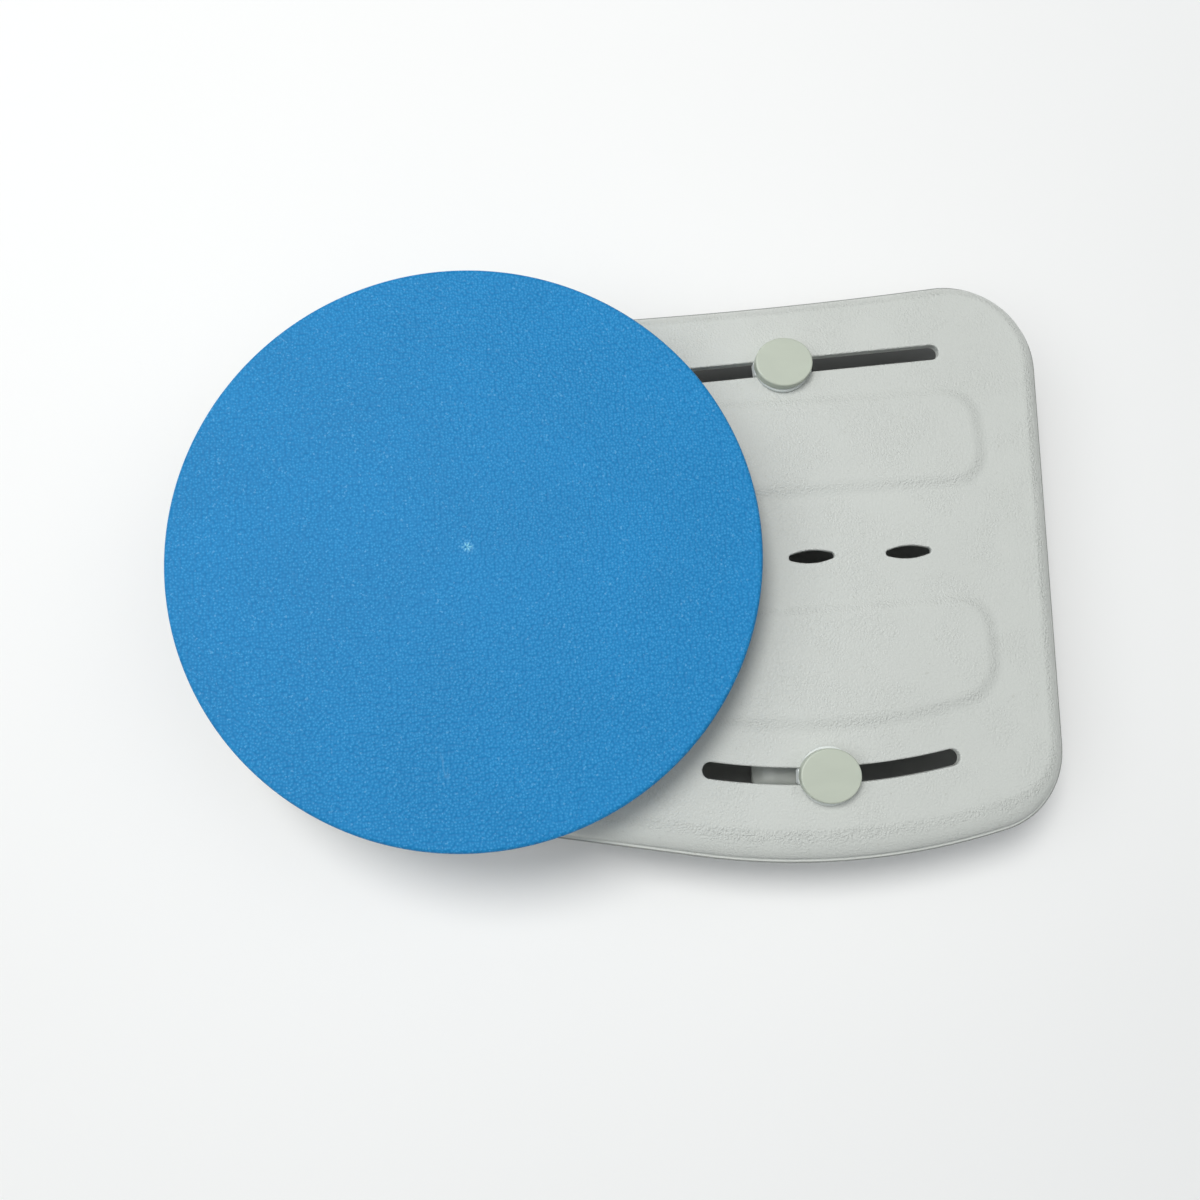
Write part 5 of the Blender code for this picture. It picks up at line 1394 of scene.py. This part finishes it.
def clamp_bolt_mesh():
    """The hexagon bolt whose head is held in the button."""
    head_bottom = CAP_BOTTOM + GAP
    low = LEVER_BOTTOM - BOLT_SHOW
    return joined(hex_head(CLAMP_HEAD_FLATS, head_bottom, head_bottom + CLAMP_HEAD_HEIGHT),
                  shank(CLAMP_BOLT_RADIUS, low, head_bottom + CLAMP_HEAD_HEIGHT / 2, low, LEVER_TOP))


def clamp_frame(clamp, extra=0.0):
    """The place and turn of a clamp at rest, in the board's axes."""
    rest = Vector(clamp["rest"])
    if clamp["centre"] is None:
        angle = clamp["heading"]
    else:
        spoke = rest - Vector(clamp["centre"])
        angle = math.atan2(spoke.y, spoke.x) + math.pi / 2
    return Matrix.Translation((*rest, 0.0)) @ Matrix.Rotation(angle + extra, 4, "Z")


def set_out_on_clamps(piece, node, mesh, finish, body="clamp", swings=False):
    """Puts a copy of a mesh on each clamp, turned to face the side of the bath that it presses on."""
    for name, clamp in CLAMPS.items():
        facing = (0.0 if clamp["side"] > 0 else math.pi) + (clamp["lever"] if swings else 0.0)
        set_out(f"{piece}_{name}", moved(mesh.copy(), clamp_frame(clamp, facing)), finish,
                f"{body}_{name}", [f"{node}_{name}"])
    bpy.data.meshes.remove(mesh)


class SWIVELSEAT_OT_round_seat(bpy.types.Operator):
    """Make the round seat with its rim, ribs and bosses"""

    bl_idname = "swivelseat.round_seat"
    bl_label = "Round Seat"

    def execute(self, context):
        set_out("round_seat", seat_mesh(), blue_plastic(), "seat", ["seat_disc"])
        return {"FINISHED"}


class SWIVELSEAT_OT_board(bpy.types.Operator):
    """Make the moulded board with its pads, slots, drains and ribs"""

    bl_idname = "swivelseat.board"
    bl_label = "Moulded Board"

    def execute(self, context):
        set_out("moulded_board", board_mesh(), pale_plastic(), "board", ["board_shell"])
        return {"FINISHED"}


class SWIVELSEAT_OT_turntable(bpy.types.Operator):
    """Make the drum and the hub that the round seat turns on"""

    bl_idname = "swivelseat.turntable"
    bl_label = "Turntable"

    def execute(self, context):
        set_out("turntable_drum", drum_mesh(), pale_plastic(), "board", ["turntable_base"])
        set_out("swivel_hub", hub_mesh(), white_plastic(), "seat", ["turntable_hub"])
        coat(["glide_ring", "pivot_bush"], low_friction_plastic())
        coat(["hub_insert"], brass())
        return {"FINISHED"}


class SWIVELSEAT_OT_fasteners(bpy.types.Operator):
    """Make the screws, the pivot bolt and its washer"""

    bl_idname = "swivelseat.fasteners"
    bl_label = "Screws and Pivot Bolt"

    def execute(self, context):
        steel = stainless_steel()
        plate_bottom = BOARD_TOP - BOARD_WALL - GAP
        screw = screw_mesh(plate_bottom - SCREW_HEAD_HEIGHT, plate_bottom, BASE_BOTTOM + SCREW_BITE)
        for i in range(SCREW_COUNT):
            place = Matrix.Translation((*on_circle(BASE_SCREW_CIRCLE, i, SCREW_COUNT, 0.0), 0.0))
            turn = Matrix.Rotation(SCREW_TURN * i, 4, "Z")
            set_out(f"pan_head_screw_{i + 1}", moved(screw.copy(), place @ turn), steel,
                    "board", [f"base_screw_{i + 1}"])
        bpy.data.meshes.remove(screw)
        coat([f"hub_screw_{i + 1}" for i in range(SCREW_COUNT)], steel)
        top = CENTRE_COLLAR_BOTTOM - GAP
        set_out("broad_washer", washer_mesh(PIVOT_WASHER_RADIUS, PIVOT_BOLT_RADIUS + GAP, top - PIVOT_WASHER, top),
                steel, "seat", ["pivot_washer"])
        head_top = top - PIVOT_WASHER - GAP
        head_low = head_top - PIVOT_HEAD_HEIGHT
        bolt = joined(hex_head(PIVOT_HEAD_FLATS, head_low, head_top),
                      shank(PIVOT_BOLT_RADIUS, head_low + PIVOT_HEAD_HEIGHT / 2,
                            CENTRE_COLLAR_BOTTOM + INSERT_LENGTH - GAP, head_top, CENTRE_COLLAR_BOTTOM))
        set_out("hexagon_pivot_bolt", bolt, steel, "seat", ["pivot_bolt"])
        return {"FINISHED"}


class SWIVELSEAT_OT_buttons(bpy.types.Operator):
    """Make the four oval buttons that show on the board"""

    bl_idname = "swivelseat.buttons"
    bl_label = "Oval Buttons"

    def execute(self, context):
        set_out_on_clamps("oval_button", "clamp_cap", cap_mesh(), sage_plastic())
        return {"FINISHED"}


class SWIVELSEAT_OT_guides(bpy.types.Operator):
    """Make the four guides that run in the slots"""

    bl_idname = "swivelseat.guides"
    bl_label = "Slot Guides"

    def execute(self, context):
        for name, clamp in CLAMPS.items():
            set_out(f"slot_guide_{name}", moved(guide_mesh(clamp), clamp_frame(clamp)), white_plastic(),
                    f"clamp_{name}", [f"clamp_guide_{name}"])
        return {"FINISHED"}


class SWIVELSEAT_OT_legs(bpy.types.Operator):
    """Make the four hanging legs with their rubber grips"""

    bl_idname = "swivelseat.legs"
    bl_label = "Legs and Grips"

    def execute(self, context):
        set_out_on_clamps("hanging_leg", "clamp_leg", leg_mesh(), white_plastic())
        set_out_on_clamps("rubber_grip", "clamp_pad", grip_mesh(), grey_rubber())
        return {"FINISHED"}


class SWIVELSEAT_OT_levers(bpy.types.Operator):
    """Make the four bolts with their washers and hand levers"""

    bl_idname = "swivelseat.levers"
    bl_label = "Bolts and Hand Levers"

    def execute(self, context):
        steel = stainless_steel()
        set_out_on_clamps("button_bolt", "clamp_bolt", clamp_bolt_mesh(), steel)
        washer = washer_mesh(LEVER_WASHER_RADIUS, CLAMP_BOLT_RADIUS + GAP, LEVER_WASHER_TOP - LEVER_WASHER,
                             LEVER_WASHER_TOP)
        set_out_on_clamps("bolt_washer", "lever_washer", washer, steel)
        set_out_on_clamps("hand_lever", "clamp_lever", lever_mesh(), lever_shaded_plastic(), "lever",
                          swings=True)
        return {"FINISHED"}


class SWIVELSEAT_OT_stage(bpy.types.Operator):
    """Make the floor, the light and the camera"""

    bl_idname = "swivelseat.stage"
    bl_label = "Floor, Light and Camera"

    def execute(self, context):
        scene = context.scene
        bm = bmesh.new()
        bmesh.ops.create_circle(bm, cap_ends=True, segments=96, radius=sizes().floor_radius)
        mesh = as_mesh(bm, "pale_floor")
        mesh.materials.append(floor_finish())
        floor = bpy.data.objects.new("pale_floor", mesh)
        scene.collection.objects.link(floor)

        scene.view_settings.view_transform = "Standard"
        world = bpy.data.worlds.new("soft_daylight")
        sky = Shading(world)
        background = sky.tree.nodes["Background"]
        place = sky.place()
        across, along, height = (sky.part(place, axis) for axis in "XYZ")
        glow = height.eased(0.36, 0.62) * (1.0 - height.eased(0.86, 0.97) * 0.75)
        glow = glow * (1.0 - (along * along).eased(0.04, 0.36) * 0.85) * (1.0 - across * 0.5)
        seen = sky.node("ShaderNodeLightPath")
        sky.feed(background.inputs["Color"], SKY_COLOUR)
        sky.feed(background.inputs["Strength"], seen * SKY_SEEN + (1.0 - seen) * glow * SKY_GLOW)
        scene.world = world

        lamp = bpy.data.lights.new("window_light", "AREA")
        lamp.shape = "DISK"
        lamp.size = LAMP_SIZE
        lamp.energy = LAMP_POWER
        lamp.color = LAMP_COLOUR
        light = bpy.data.objects.new("window_light", lamp)
        light.location = (*LAMP_PLACE, sizes().light_height)
        light.rotation_euler = (Vector(LAMP_AIM) - light.location).to_track_quat("-Z", "Y").to_euler()
        scene.collection.objects.link(light)

        lens = bpy.data.cameras.new("picture_camera")
        lens.lens = CAMERA_LENS
        lens.sensor_width = CAMERA_SENSOR
        lens.clip_start = CAMERA_NEAR
        camera = bpy.data.objects.new("picture_camera", lens)
        tilt = Matrix.Rotation(CAMERA_PITCH, 3, "X") @ Matrix.Rotation(CAMERA_ROLL, 3, "Y")
        camera.rotation_euler = (Matrix.Rotation(CAMERA_TURN, 3, "Z") @ tilt.transposed()).to_euler()
        camera.location = CAMERA_PLACE
        scene.collection.objects.link(camera)
        scene.camera = camera
        return {"FINISHED"}


STEPS = (
    SWIVELSEAT_OT_board,
    SWIVELSEAT_OT_round_seat,
    SWIVELSEAT_OT_turntable,
    SWIVELSEAT_OT_fasteners,
    SWIVELSEAT_OT_buttons,
    SWIVELSEAT_OT_guides,
    SWIVELSEAT_OT_legs,
    SWIVELSEAT_OT_levers,
    SWIVELSEAT_OT_stage,
)


class SWIVELSEAT_PT_panel(bpy.types.Panel):
    """Lists the steps that dress the seat, with its sizes and colours"""

    bl_idname = "SWIVELSEAT_PT_panel"
    bl_label = "Swivel Bath Seat"
    bl_space_type = "VIEW_3D"
    bl_region_type = "UI"
    bl_category = "Bath Seat"

    def draw(self, context):
        for step in STEPS:
            self.layout.operator(step.bl_idname)
        for group in (context.scene.swivel_seat_sizes, context.scene.swivel_seat_colours):
            box = self.layout.box()
            for name in group.__annotations__:
                box.prop(group, name)


CLASSES = (SwivelSeatSizes, SwivelSeatColours, *STEPS, SWIVELSEAT_PT_panel)


def register():
    for cls in CLASSES:
        bpy.utils.register_class(cls)
    bpy.types.Scene.swivel_seat_sizes = bpy.props.PointerProperty(type=SwivelSeatSizes)
    bpy.types.Scene.swivel_seat_colours = bpy.props.PointerProperty(type=SwivelSeatColours)


def unregister():
    del bpy.types.Scene.swivel_seat_colours
    del bpy.types.Scene.swivel_seat_sizes
    for cls in reversed(CLASSES):
        bpy.utils.unregister_class(cls)


def main():
    register()
    for step in STEPS:
        group, name = step.bl_idname.split(".")
        getattr(getattr(bpy.ops, group), name)()


if __name__ == "__main__":
    main()
